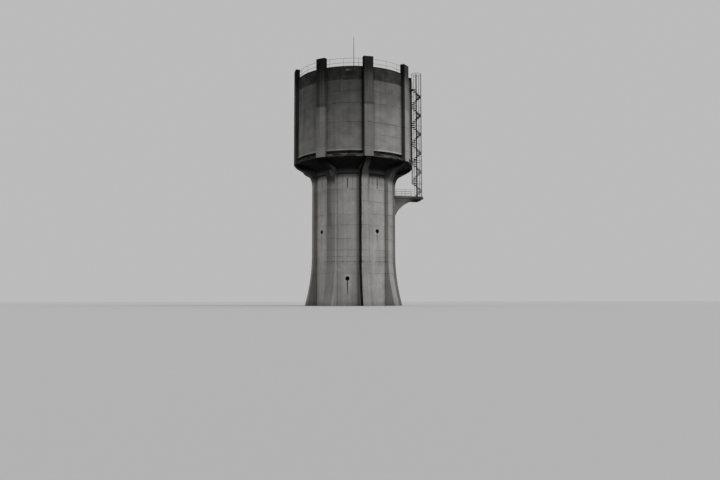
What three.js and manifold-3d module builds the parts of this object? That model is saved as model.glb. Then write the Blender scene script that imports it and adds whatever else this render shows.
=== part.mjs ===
// Reinforced concrete water tower: a ribbed round shaft carries a round tank with eight buttresses.
// A bracketed platform and a steel spiral stair on +X lead from the shaft up to the tank roof.
// Millimetres, +Z up. The origin is the foot of the shaft's axis. The first rib stands on +X.

import * as THREE from 'three';
import { mergeVertices } from 'three/addons/utils/BufferGeometryUtils.js';
import Module from 'manifold-3d';

const wasm = await Module();
wasm.setup();

// Driving dimensions
const RIBS = 8;
const GAP = 0.3;
const ARC_STEPS = 8;
const CUT = 100;

const SHAFT_R = 5350;
const SHAFT_WALL = 300;
const SHAFT_TOP = 17560;
const RIB_R = 5800;
const RIB_ROOT = 200;
const RIB_WIDTH = 1330;
const FOOT_SPREAD = 980;
const FOOT_HEIGHT = 7000;

const FLOOR_THICK = 250;
const WINDOW_SIDES = 24;
const WINDOW_CUT = 1500;
const WINDOW_R = 240;
const WINDOW_LOW = 3600;
const WINDOW_HIGH = 9930;

const RING_R = 8180;
const RING_INNER_R = 7350;
const RING_BOTTOM = 19370;
const RING_TOP = 19750;
const GROOVE_R = 7750;

const TANK_R = 7980;
const TANK_WALL = 350;
const TANK_BOTTOM = 20160;
const RIM_TOP = 31390;
const REBATE_R = 7800;
const REBATE_Z = 31100;

const BUTTRESS_R = 8400;
const BUTTRESS_HEAD_R = 7810;
const BUTTRESS_BOTTOM = 19390;
const BUTTRESS_TOP = 32640;

// Curves of the underside, as radius and height: start, corner and end of each bend
const RIB_BEND = [[RIB_R, 16200], [RIB_R, 17720], [6600, 18140]];
const RIB_HEAD = [[7900, 18830], [8050, 18920], [BUTTRESS_R, BUTTRESS_BOTTOM - 20]];
const NECK_STEP = 40;
const NECK_BEND = [[SHAFT_R + NECK_STEP, SHAFT_TOP], [5500, 18900], [RING_R - 80, RING_BOTTOM - 40]];
const NECK_INNER = [[7300, RING_BOTTOM - GAP], [6600, 19300], [5900, 19120], [5400, 18750]];
const NECK_BORE = 4850;

const ROOF_EDGE = 200;
const ROOF_RISE = 900;
const ROOF_SHELL = 180;
const ROOF_FLAT_R = 7500;
const ROOF_RINGS = 5;
const TANK_FLOOR_R = 5150;
const TANK_FLOOR_Z = 18000;
const TANK_FLOOR_THICK = 350;

const RAILING_R = 7700;
const RAILING_HEIGHTS = [620, 1220];
const RAILING_TUBE = 22;
const RAILING_POSTS = 24;
const RAILING_GATE = [4.8, 11];

const ROD_TOP = 38270;
const ROD_R = 28;
const ROD_FOOT_R = 220;
const ROD_FOOT_HEIGHT = 120;

const PLATFORM_TOP = 15420;
const PLATFORM_THICK = 280;
const PLATFORM_HALF = 900;
const PLATFORM_RAILS = [380, 660, 950];
const PLATFORM_EDGE = 60;
const BRACKET_THICK = 500;
const BRACKET_FOOT = 12200;
const BRACKET_CORNER = [6320, 13960];
const BRACKET_BEND_END = [8200, 14730];
const BRACKET_TIP = [[9350, 14740], [9720, 14890]];
const BRACKET_REACH = 10000;

const UPPER_DOOR = [860, 1900];
const GROUND_DOOR = [1000, 2100];
const GROUND_DOOR_WALL = 1;
const DOOR_CUT = 500;
const HATCH = 900;
const HATCH_AT = -2550;

const STAIR_R = 9280;
const COLUMN_R = 85;
const TREAD_R = 690;
const TREAD_THICK = 45;
const TREAD_OVERLAP = 2;
const JOINT_DROP = 60;
const TREADS_PER_TURN = 12;
const TREAD_COUNT = 68;
const FLIGHTS = 4;
const STAIR_START = -142.3;
const LANDING_TOP = 31200;
const LANDING_THICK = 60;
const CAGE_R = 725;
const CAGE_BAR = 20;
const CAGE_TOP = 33430;
const CAGE_ENTRY = 17350;
const HANDRAIL_HEIGHT = 950;
const HANDRAIL_TREADS = [5, 62];
const TIE_Z = 20620;
const TIE_X = 8280;
const TIE_RISE = 380;
const TIE_PLATE = 12;
const LANDING_NEAR = -65;
const LANDING_FAR = 1500;
const LANDING_OUT = 8990;
const LANDING_TURN = [600, 700];
const LANDING_LAP = 400;
const RAIL_INSET = 50;

const CONCRETE = { color: 0x8f8f8b, roughness: 0.95, metalness: 0 };
const STEEL = { color: 0x6f7173, roughness: 0.6, metalness: 0.7 };

const degrees = (value) => value * Math.PI / 180;
const at = (x, y) => new THREE.Vector2(x, y);
const STEP = 360 / RIBS;
const RISER = (LANDING_TOP - PLATFORM_TOP) / (TREAD_COUNT + 1);

// Six times the volume that a triangle spans with the origin
function spanned(points, [a, b, c]) {
  const [p, q, r] = [a, b, c].map((i) => new THREE.Vector3().fromArray(points, 3 * i));
  return p.dot(q.cross(r));
}

// Turns a closed mesh into a solid that can be joined and cut, with its faces pointing out
function solid(geometry) {
  const plain = geometry.index ? geometry.toNonIndexed() : geometry.clone();
  plain.deleteAttribute('normal');
  plain.deleteAttribute('uv');
  const merged = mergeVertices(plain, 0.001);
  const points = merged.attributes.position.array;
  const corners = merged.index.array;
  const triangles = [];
  for (let i = 0; i < corners.length; i += 3) {
    const [a, b, c] = corners.slice(i, i + 3);
    if (a !== b && b !== c && c !== a) triangles.push([a, b, c]);
  }
  const volume = triangles.reduce((sum, triangle) => sum + spanned(points, triangle), 0);
  if (volume < 0) triangles.forEach((triangle) => triangle.reverse());
  return new wasm.Manifold(new wasm.Mesh({
    numProp: 3,
    vertProperties: new Float32Array(points),
    triVerts: new Uint32Array(triangles.flat()),
  }));
}

function geometryOf(body) {
  const mesh = body.getMesh();
  const geometry = new THREE.BufferGeometry();
  geometry.setAttribute('position', new THREE.BufferAttribute(mesh.vertProperties, 3));
  geometry.setIndex(new THREE.BufferAttribute(mesh.triVerts, 1));
  geometry.computeVertexNormals();
  return geometry;
}

function join(solids) {
  return solids.reduce((whole, next) => whole.add(next));
}

// Block between two corners
function block(low, high) {
  const size = high.map((value, i) => value - low[i]);
  const geometry = new THREE.BoxGeometry(...size);
  geometry.translate(...low.map((value, i) => value + size[i] / 2));
  return solid(geometry);
}

// Body of revolution about the vertical axis from a closed profile of radius and height
function turned(profile, steps = RIBS * ARC_STEPS) {
  const geometry = new THREE.LatheGeometry(profile, steps);
  geometry.rotateX(Math.PI / 2);
  return solid(geometry);
}

// Plan outline raised from one height to another; each of its arcs gets the given number of sides
function raised(shape, low, high, sides = ARC_STEPS) {
  const settings = { depth: high - low, bevelEnabled: false, curveSegments: sides / 2 };
  const geometry = new THREE.ExtrudeGeometry(shape, settings);
  geometry.translate(0, 0, low);
  return solid(geometry);
}

// Side outline of radius and height, standing on +X with the given thickness
function upright(points, thickness) {
  const shape = new THREE.Shape(points);
  const geometry = new THREE.ExtrudeGeometry(shape, { depth: thickness, bevelEnabled: false });
  geometry.rotateX(Math.PI / 2);
  geometry.translate(0, thickness / 2, 0);
  return solid(geometry);
}

function tube(curve, radius, steps = 1, sides = 4) {
  const outline = new THREE.Shape();
  outline.absarc(0, 0, radius, 0, 2 * Math.PI);
  const settings = { steps, extrudePath: curve, bevelEnabled: false, curveSegments: sides / 2 };
  return solid(new THREE.ExtrudeGeometry(outline, settings));
}

// Round curve about an upright axis at x, turning and climbing evenly between two angles and two heights
class Winding extends THREE.Curve {
  constructor(x, radius, from, to, low, high) {
    super();
    Object.assign(this, { x, radius, from, to, low, high });
  }

  getPoint(t, target = new THREE.Vector3()) {
    const angle = degrees(this.from + (this.to - this.from) * t);
    const z = this.low + (this.high - this.low) * t;
    return target.set(this.x + this.radius * Math.cos(angle), this.radius * Math.sin(angle), z);
  }
}

function line(start, end) {
  return new THREE.LineCurve3(new THREE.Vector3(...start), new THREE.Vector3(...end));
}

function post(x, y, low, high, radius, sides = 4) {
  const geometry = new THREE.CylinderGeometry(radius, radius, high - low, sides);
  geometry.rotateX(Math.PI / 2);
  geometry.translate(x, y, (low + high) / 2);
  return solid(geometry);
}

function hoop(x, y, z, radius, thickness) {
  const geometry = new THREE.TorusGeometry(radius, thickness, 4, 24);
  geometry.translate(x, y, z);
  return solid(geometry);
}

// Points along a curve that bends once, without its first point
function bend(start, corner, end, steps) {
  return new THREE.QuadraticBezierCurve(at(...start), at(...corner), at(...end)).getPoints(steps).slice(1);
}

// One eighth of a round wall, from a rib's middle to the next rib's middle
function sector(outer, thickness) {
  const inner = outer - thickness;
  const cut = GAP / 2 / inner;
  const shape = new THREE.Shape();
  shape.absarc(0, 0, outer, cut, degrees(STEP) - cut, false);
  shape.absarc(0, 0, inner, degrees(STEP) - cut, cut, true);
  shape.closePath();
  return shape;
}

// Underside of the flared neck, from the top of the shaft to the ring beam
function neckCurve(shift) {
  const points = [at(...NECK_BEND[0]), ...bend(...NECK_BEND, 7)];
  return points.map((p) => at(p.x + shift, p.y - shift));
}

// Everything that the ribs lean against, grown by the gap
function ribCore() {
  return turned([
    at(0, -CUT), at(SHAFT_R + GAP, -CUT), at(SHAFT_R + GAP, SHAFT_TOP - GAP),
    ...neckCurve(GAP),
    at(NECK_BEND[2][0] + GAP, RING_BOTTOM - GAP), at(RING_R + GAP, RING_BOTTOM - GAP),
    at(RING_R + GAP, TANK_BOTTOM), at(0, TANK_BOTTOM),
  ]);
}

// Everything that the buttresses lean against, grown by the gap
function buttressCore() {
  return turned([
    at(0, RING_BOTTOM - CUT), at(RING_R + GAP, RING_BOTTOM - CUT), at(RING_R + GAP, RING_TOP + GAP),
    at(TANK_R + GAP, RING_TOP + GAP), at(TANK_R + GAP, RIM_TOP + GAP), at(0, RIM_TOP + GAP),
  ]);
}

function ribOutline() {
  const inside = SHAFT_R - RIB_ROOT;
  const foot = [];
  for (let i = 0; i <= 10; i += 1) {
    const z = FOOT_HEIGHT * i / 10;
    foot.push(at(RIB_R + FOOT_SPREAD * (1 - i / 10) ** 2, z));
  }
  return [
    at(inside, 0), ...foot,
    at(...RIB_BEND[0]), ...bend(...RIB_BEND, 8),
    at(...RIB_HEAD[0]), ...bend(...RIB_HEAD, 4),
    at(BUTTRESS_R, BUTTRESS_BOTTOM - GAP), at(inside, BUTTRESS_BOTTOM - GAP),
  ];
}

// Doorway through the first rib onto the platform
function upperDoorCut() {
  const [width, height] = UPPER_DOOR;
  const inside = SHAFT_R - 2 * SHAFT_WALL;
  return block([inside, -width / 2, PLATFORM_TOP], [RIB_R + DOOR_CUT, width / 2, PLATFORM_TOP + height]);
}

function groundDoorCut() {
  const [width, height] = GROUND_DOOR;
  const low = FLOOR_THICK;
  const inside = SHAFT_R - 2 * SHAFT_WALL;
  const cut = block([inside, -width / 2, low], [SHAFT_R + CUT, width / 2, low + height]);
  return cut.rotate([0, 0, STEP / 2]);
}

function windowCut(z) {
  const geometry = new THREE.CylinderGeometry(WINDOW_R, WINDOW_R, WINDOW_CUT, WINDOW_SIDES);
  geometry.rotateZ(Math.PI / 2);
  geometry.translate(SHAFT_R, 0, z);
  return solid(geometry).rotate([0, 0, STEP / 2]);
}

// Wall segment i starts at the middle of rib i; its round window is low in every second one
function shaftWall(index) {
  let wall = raised(sector(SHAFT_R, SHAFT_WALL), 0, SHAFT_TOP - GAP);
  wall = wall.subtract(windowCut(index % 2 === 0 ? WINDOW_HIGH : WINDOW_LOW));
  if (index === 0) wall = wall.subtract(upperDoorCut());
  if (index === RIBS - 1) wall = wall.subtract(upperDoorCut().rotate([0, 0, STEP]));
  if (index === GROUND_DOOR_WALL) wall = wall.subtract(groundDoorCut());
  return wall;
}

function neckShell() {
  return turned([
    at(NECK_BORE, SHAFT_TOP), ...neckCurve(0), at(NECK_BEND[2][0], RING_BOTTOM - GAP),
    ...NECK_INNER.map((point) => at(...point)),
    at(TANK_FLOOR_R, TANK_FLOOR_Z + TANK_FLOOR_THICK), at(TANK_FLOOR_R, TANK_FLOOR_Z),
    at(NECK_BORE, TANK_FLOOR_Z), at(NECK_BORE, SHAFT_TOP),
  ]);
}

function ringBeam() {
  return turned([
    at(RING_INNER_R, RING_BOTTOM), at(RING_R, RING_BOTTOM), at(RING_R, RING_TOP), at(GROOVE_R, RING_TOP),
    at(GROOVE_R, TANK_BOTTOM - GAP), at(RING_INNER_R, TANK_BOTTOM - GAP), at(RING_INNER_R, RING_BOTTOM),
  ]);
}

function rebateCut() {
  const top = RIM_TOP + CUT;
  return turned([at(0, REBATE_Z), at(REBATE_R, REBATE_Z), at(REBATE_R, top), at(0, top)]);
}

function tankWall() {
  return raised(sector(TANK_R, TANK_WALL), TANK_BOTTOM, RIM_TOP).subtract(rebateCut());
}

function buttress(core) {
  const half = RIB_WIDTH / 2;
  const shaft = block([BUTTRESS_HEAD_R, -half, BUTTRESS_BOTTOM], [BUTTRESS_R, half, BUTTRESS_TOP]);
  return shaft.subtract(core);
}

// Shallow domed slab with a flat edge that lies in the rebate of the wall
function roof() {
  const low = REBATE_Z + GAP;
  const edge = REBATE_R - GAP;
  const top = [];
  const under = [];
  for (let i = ROOF_RINGS; i >= 0; i -= 1) {
    const share = i / ROOF_RINGS;
    const z = low + ROOF_EDGE + ROOF_RISE * (1 - share ** 2);
    top.push(at(ROOF_FLAT_R * share, z));
    under.unshift(at(ROOF_FLAT_R * share, z - ROOF_SHELL));
  }
  return turned([...under, at(ROOF_FLAT_R, low), at(edge, low), at(edge, low + ROOF_EDGE), ...top]);
}

// Posts and rails round the roof's edge, open where the landing crosses the rim
function roofRailing() {
  const foot = REBATE_Z + ROOF_EDGE + 2 * GAP;
  const high = foot + RAILING_HEIGHTS[RAILING_HEIGHTS.length - 1];
  const [from, to] = [RAILING_GATE[1], RAILING_GATE[0] + 360];
  const pieces = RAILING_HEIGHTS.map((height) => {
    const z = foot + height - RAILING_TUBE;
    return tube(new Winding(0, RAILING_R, from, to, z, z), RAILING_TUBE, 3 * RAILING_POSTS);
  });
  for (let i = 0; i <= RAILING_POSTS; i += 1) {
    const angle = degrees(from + (to - from) * (i + 0.03) / (RAILING_POSTS + 0.06));
    pieces.push(post(RAILING_R * Math.cos(angle), RAILING_R * Math.sin(angle), foot, high, RAILING_TUBE));
  }
  return join(pieces);
}

function lightningRod() {
  const foot = REBATE_Z + ROOF_EDGE + ROOF_RISE + 2 * GAP;
  return turned([
    at(0, foot), at(ROD_FOOT_R, foot), at(ROD_FOOT_R, foot + ROD_FOOT_HEIGHT),
    at(3 * ROD_R, foot + ROD_FOOT_HEIGHT), at(2 * ROD_R, foot + 2 * ROD_FOOT_HEIGHT),
    at(ROD_R, foot + 4 * ROD_FOOT_HEIGHT), at(ROD_R, ROD_TOP - 2 * ROD_FOOT_HEIGHT), at(0, ROD_TOP),
  ], 16);
}

function platformBracket() {
  const root = RIB_R + GAP;
  const under = PLATFORM_TOP - PLATFORM_THICK - GAP;
  return upright([
    at(root, BRACKET_FOOT), ...bend([root, BRACKET_FOOT], BRACKET_CORNER, BRACKET_BEND_END, 10),
    ...BRACKET_TIP.map((point) => at(...point)), at(BRACKET_REACH, under), at(root, under),
  ], BRACKET_THICK);
}

function platformSlab() {
  const shape = new THREE.Shape();
  shape.moveTo(RIB_R + GAP, -PLATFORM_HALF);
  shape.lineTo(STAIR_R, -PLATFORM_HALF);
  shape.absarc(STAIR_R, 0, PLATFORM_HALF, -Math.PI / 2, Math.PI / 2, false);
  shape.lineTo(RIB_R + GAP, PLATFORM_HALF);
  shape.closePath();
  return raised(shape, PLATFORM_TOP - PLATFORM_THICK, PLATFORM_TOP, 16);
}

// Railing along one long side of the platform
function platformRailing(side) {
  const y = side * (PLATFORM_HALF - PLATFORM_EDGE);
  const foot = PLATFORM_TOP + GAP;
  const high = PLATFORM_TOP + PLATFORM_RAILS[PLATFORM_RAILS.length - 1];
  const ends = [RIB_R + PLATFORM_EDGE, STAIR_R - CAGE_R + 2 * PLATFORM_EDGE];
  const pieces = [];
  for (let i = 0; i < 3; i += 1) {
    pieces.push(post(ends[0] + (ends[1] - ends[0]) * i / 2, y, foot, high, RAILING_TUBE));
  }
  for (const height of PLATFORM_RAILS) {
    const z = PLATFORM_TOP + height - RAILING_TUBE;
    pieces.push(tube(line([ends[0], y, z], [ends[1], y, z]), RAILING_TUBE - 2));
  }
  return join(pieces);
}

const treadTop = (k) => PLATFORM_TOP + k * RISER;
const treadAngle = (k) => STAIR_START + k * 360 / TREADS_PER_TURN;

function tread(k) {
  const half = degrees(180 / TREADS_PER_TURN + TREAD_OVERLAP);
  const shape = new THREE.Shape();
  shape.moveTo(0, 0);
  shape.lineTo(TREAD_R * Math.cos(half), -TREAD_R * Math.sin(half));
  shape.absarc(0, 0, TREAD_R, -half, half, false);
  shape.closePath();
  const plate = raised(shape, treadTop(k) - TREAD_THICK, treadTop(k), 4);
  return plate.rotate([0, 0, treadAngle(k)]).translate([STAIR_R, 0, 0]);
}

// Stretch of the centre column with the treads that it carries
function flight(index) {
  const first = Math.round(TREAD_COUNT * index / FLIGHTS) + 1;
  const last = Math.round(TREAD_COUNT * (index + 1) / FLIGHTS);
  const drop = TREAD_THICK + JOINT_DROP;
  const low = index === 0 ? PLATFORM_TOP + GAP : treadTop(first) - drop;
  const high = index === FLIGHTS - 1 ? CAGE_TOP : treadTop(last + 1) - drop - GAP;
  const pieces = [post(STAIR_R, 0, low, high, COLUMN_R, 12)];
  for (let k = first; k <= last; k += 1) pieces.push(tread(k));
  return join(pieces);
}

// Upright bars round the stair, tied by hoops and by the winding handrail, and held to the first buttress
function stairCage() {
  const pieces = [CAGE_TOP - CAGE_BAR, TIE_Z, CAGE_ENTRY].map((z) => hoop(STAIR_R, 0, z, CAGE_R, CAGE_BAR));
  for (let i = 0; i < TREADS_PER_TURN; i += 1) {
    const turn = treadAngle(i);
    const angle = degrees(turn);
    const facesShaft = Math.cos(angle) < -0.3;
    const low = facesShaft ? CAGE_ENTRY : PLATFORM_TOP + GAP;
    const crossed = facesShaft && Math.sin(angle) > 0;
    const high = crossed ? LANDING_TOP - LANDING_THICK - GAP : CAGE_TOP - CAGE_BAR;
    const x = STAIR_R + CAGE_R * Math.cos(angle);
    pieces.push(post(x, CAGE_R * Math.sin(angle), low, high, CAGE_BAR));
  }
  const [first, last] = HANDRAIL_TREADS;
  const [low, high] = [first, last].map((k) => treadTop(k) + HANDRAIL_HEIGHT);
  const handrail = new Winding(STAIR_R, CAGE_R, treadAngle(first), treadAngle(last), low, high);
  pieces.push(tube(handrail, CAGE_BAR - 4, last - first));
  for (const side of [-1, 1]) pieces.push(cageTie(side));
  return join(pieces);
}

// Short strut from the cage's hoop up to a lug plate on one side of the first buttress
function cageTie(side) {
  const wall = RIB_WIDTH / 2 + GAP;
  const z = TIE_Z + TIE_RISE;
  const beside = (low, high, near, far) => block(
    [low[0], side > 0 ? near : -far, low[1]],
    [high[0], side > 0 ? far : -near, high[1]],
  );
  const plate = beside([TIE_X - 80, z - 100], [TIE_X + 80, z + 100], wall, wall + TIE_PLATE);
  const lug = beside([TIE_X - 40, z - 40], [TIE_X + 40, z + 40], wall + TIE_PLATE / 2, wall + 70);
  const reach = degrees(180 - side * 60);
  const end = [STAIR_R + CAGE_R * Math.cos(reach), CAGE_R * Math.sin(reach), TIE_Z];
  const strut = tube(line([TIE_X, side * (wall + 50), z], end), CAGE_BAR + 5);
  return join([plate, lug, strut]);
}

// Plate beside the stair's head that leads round the first buttress to the rim
function topLanding() {
  const side = RIB_WIDTH / 2 + GAP;
  const column = STAIR_R - COLUMN_R - 5;
  const outline = [
    at(BUTTRESS_R + GAP, LANDING_NEAR), at(column, LANDING_NEAR),
    at(column, LANDING_TURN[0]), at(LANDING_OUT, LANDING_TURN[1]), at(LANDING_OUT, LANDING_FAR),
    at(TANK_R - LANDING_LAP, LANDING_FAR), at(TANK_R - LANDING_LAP, side), at(BUTTRESS_R + GAP, side),
  ];
  const plate = raised(new THREE.Shape(outline), LANDING_TOP - LANDING_THICK, LANDING_TOP);
  return plate.subtract(tankCore);
}

function landingRailing() {
  const foot = LANDING_TOP + GAP;
  const high = foot + RAILING_HEIGHTS[1];
  const x = LANDING_OUT - RAIL_INSET;
  const y = LANDING_FAR - RAIL_INSET;
  const start = [x, LANDING_TURN[1] + RAIL_INSET];
  const corner = [x, y];
  const end = [TANK_R + RAIL_INSET, y];
  const pieces = [start, corner, end].map(([px, py]) => post(px, py, foot, high, RAILING_TUBE));
  for (const height of RAILING_HEIGHTS) {
    const z = foot + height - RAILING_TUBE;
    pieces.push(tube(line([...start, z], [...corner, z]), RAILING_TUBE - 2));
    pieces.push(tube(line([...corner, z], [...end, z]), RAILING_TUBE - 2));
  }
  return join(pieces);
}

function groundFloor() {
  const r = SHAFT_R - SHAFT_WALL - GAP;
  return turned([at(0, 0), at(r, 0), at(r, FLOOR_THICK), at(0, FLOOR_THICK)]);
}

// Floor level with the platform, with a hatch
function upperFloor() {
  const r = SHAFT_R - SHAFT_WALL - GAP;
  const low = PLATFORM_TOP - PLATFORM_THICK;
  const slab = turned([at(0, low), at(r, low), at(r, PLATFORM_TOP), at(0, PLATFORM_TOP)]);
  const high = PLATFORM_TOP + CUT;
  return slab.subtract(block([HATCH_AT, -HATCH / 2, low - CUT], [HATCH_AT + HATCH, HATCH / 2, high]));
}

function tankFloor() {
  const r = TANK_FLOOR_R - GAP;
  const high = TANK_FLOOR_Z + TANK_FLOOR_THICK;
  return turned([
    at(0, TANK_FLOOR_Z + GAP), at(r, TANK_FLOOR_Z + GAP), at(r, high), at(0, high),
  ]);
}

const tower = new THREE.Group();

function place(name, body, finish, turn = 0) {
  const mesh = new THREE.Mesh(geometryOf(body), new THREE.MeshStandardMaterial(finish));
  mesh.name = name;
  mesh.rotation.z = degrees(turn);
  tower.add(mesh);
  return mesh;
}

const shaftCore = ribCore();
const tankCore = buttressCore();
const plainRib = upright(ribOutline(), RIB_WIDTH).subtract(shaftCore);
const plainButtress = buttress(tankCore);
const plainTankWall = tankWall();

place('ground_floor', groundFloor(), CONCRETE);
place('upper_floor', upperFloor(), CONCRETE);
place('neck_shell', neckShell(), CONCRETE);
place('tank_floor', tankFloor(), CONCRETE);
place('ring_beam', ringBeam(), CONCRETE);
place('roof', roof(), CONCRETE);
for (let i = 0; i < RIBS; i += 1) {
  place(`shaft_wall_${i + 1}`, shaftWall(i), CONCRETE, STEP * i);
  place(`shaft_rib_${i + 1}`, i === 0 ? plainRib.subtract(upperDoorCut()) : plainRib, CONCRETE, STEP * i);
  place(`tank_wall_${i + 1}`, plainTankWall, CONCRETE, STEP * i);
  place(`buttress_${i + 1}`, plainButtress, CONCRETE, STEP * i);
}
place('roof_railing', roofRailing(), STEEL);
place('lightning_rod', lightningRod(), STEEL);
place('platform_bracket', platformBracket(), CONCRETE);
place('platform_slab', platformSlab(), CONCRETE);
place('platform_railing_right', platformRailing(-1), STEEL);
place('platform_railing_left', platformRailing(1), STEEL);
for (let i = 0; i < FLIGHTS; i += 1) place(`stair_flight_${i + 1}`, flight(i), STEEL);
place('stair_cage', stairCage(), STEEL);
place('top_landing', topLanding(), STEEL);
place('landing_railing', landingRailing(), STEEL);

export default tower;
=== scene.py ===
"""Pieces, finishes, light and camera of the concrete water tower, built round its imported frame.

Lengths are metres in the row frame: +Z runs up the tower's axis and +X points to the platform and the stair.
A size that holds several numbers is unpacked where it is used, which says what each of them is.
"""

import sys

import logging
import math
from collections.abc import Callable, Iterable, Mapping, Sequence
from dataclasses import dataclass
from enum import Enum
from typing import Any, TypeAlias

import bmesh
import bpy
from mathutils import Euler, Matrix, Vector

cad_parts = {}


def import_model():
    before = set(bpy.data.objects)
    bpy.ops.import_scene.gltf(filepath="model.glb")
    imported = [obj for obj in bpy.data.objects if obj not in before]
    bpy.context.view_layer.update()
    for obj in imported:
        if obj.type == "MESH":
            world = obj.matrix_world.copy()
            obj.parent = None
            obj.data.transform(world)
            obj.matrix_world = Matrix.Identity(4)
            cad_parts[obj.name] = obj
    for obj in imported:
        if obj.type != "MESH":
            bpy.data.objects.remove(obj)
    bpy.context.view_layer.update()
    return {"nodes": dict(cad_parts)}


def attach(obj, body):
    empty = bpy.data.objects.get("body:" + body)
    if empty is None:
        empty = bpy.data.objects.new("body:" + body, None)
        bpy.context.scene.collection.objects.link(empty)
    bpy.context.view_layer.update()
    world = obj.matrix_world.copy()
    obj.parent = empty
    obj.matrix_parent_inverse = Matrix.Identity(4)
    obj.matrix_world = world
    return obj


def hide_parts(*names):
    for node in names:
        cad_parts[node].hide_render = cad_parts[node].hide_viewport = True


log = logging.getLogger("tower")

RIBS = 8
STEP = 360.0 / RIBS
# Half the width of a rib or buttress
RIB_HALF = 0.665
# Heights of the round windows, high and low by turns
WINDOWS = (9.93, 3.6)
# Depth of a groove between two lifts
LIFT_GROOVE = 0.012
# Radii of rails and bolts
TUBE = 0.021
BOLT = 0.011
# Bevel of cast edges
EDGE = 0.022
# Air between two pieces that rest on each other
GAP = 0.0003
# Distance under which two points are one
WELD = 0.00002
# Angles from which an edge is bevelled, and is left sharp in the shading
SHARP = math.radians(40)
SMOOTH = math.radians(35)

Point: TypeAlias = Sequence[float]
Pair: TypeAlias = tuple[float, float]
Triple: TypeAlias = tuple[float, float, float]
Line: TypeAlias = tuple[Pair, ...]
Row: TypeAlias = tuple[float, ...]
Test: TypeAlias = Callable[[Vector, Vector], bool]
Number: TypeAlias = "Value | float"
Material: TypeAlias = bpy.types.Material
Socket: TypeAlias = bpy.types.NodeSocket


class Part(Enum):
    """What a selection is made of."""

    POINTS = "VERT"
    EDGES = "EDGE"
    FACES = "FACE"


class Slot(Enum):
    """Material slots of the record."""

    SHAFT = "concrete_shaft"
    TANK = "concrete_tank"
    NECK = "concrete_neck"
    STEEL = "steelwork"


class Rib(Enum):
    """Ribs with marks of their own, painted shade among them, numbered anticlockwise from +X."""

    # The rib with painted shade on its buttress and the wall beside it, and a painted highlight and shadow
    # line on its head.
    SHADED = 5
    # The rib with a black band down its corner.
    STAINED = 6
    # The rib with painted shade along the left corner of its face.
    WORN = 7


def polar(radius: float, degrees: float, height: float = 0.0) -> Vector:
    """Returns the point at a radius, an angle from +X and a height."""
    angle = math.radians(degrees)
    return Vector((radius * math.cos(angle), radius * math.sin(angle), height))


def turned(degrees: float) -> Matrix:
    """Returns a turn about the tower's axis."""
    return Matrix.Rotation(math.radians(degrees), 4, "Z")


def aimed(place: Vector, way: Vector) -> Matrix:
    """Returns the move that takes a piece from the origin to a place and its Z axis to a direction."""
    return Matrix.Translation(place) @ way.to_track_quat("Z", "Y").to_matrix().to_4x4()


def grooved(radius: float, heights: Iterable[float]) -> list[Pair]:
    """Returns the outside of a wall from below, with a small V groove at each height."""
    notch = ((-LIFT_GROOVE, 0.0), (0.0, -LIFT_GROOVE), (LIFT_GROOVE, 0.0))
    return [(radius + inward, z + up) for z in heights for up, inward in notch]


def bend(start: Point, corner: Point, end: Point, steps: int) -> list[Vector]:
    """Traces a curve that bends once.

    Args:
        start: First point, as radius and height.
        corner: Point that the curve is pulled towards.
        end: Last point.
        steps: Number of stretches.

    Returns:
        The points after the first one.
    """
    a, b, c = Vector(start), Vector(corner), Vector(end)
    shares = [i / steps for i in range(1, steps + 1)]
    return [(1 - t) ** 2 * a + 2 * t * (1 - t) * b + t * t * c for t in shares]


def paint(obj: bpy.types.Object, material: Material) -> None:
    """Gives an object a single material."""
    obj.data.materials.clear()
    obj.data.materials.append(material)


# Modelling by hand


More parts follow.
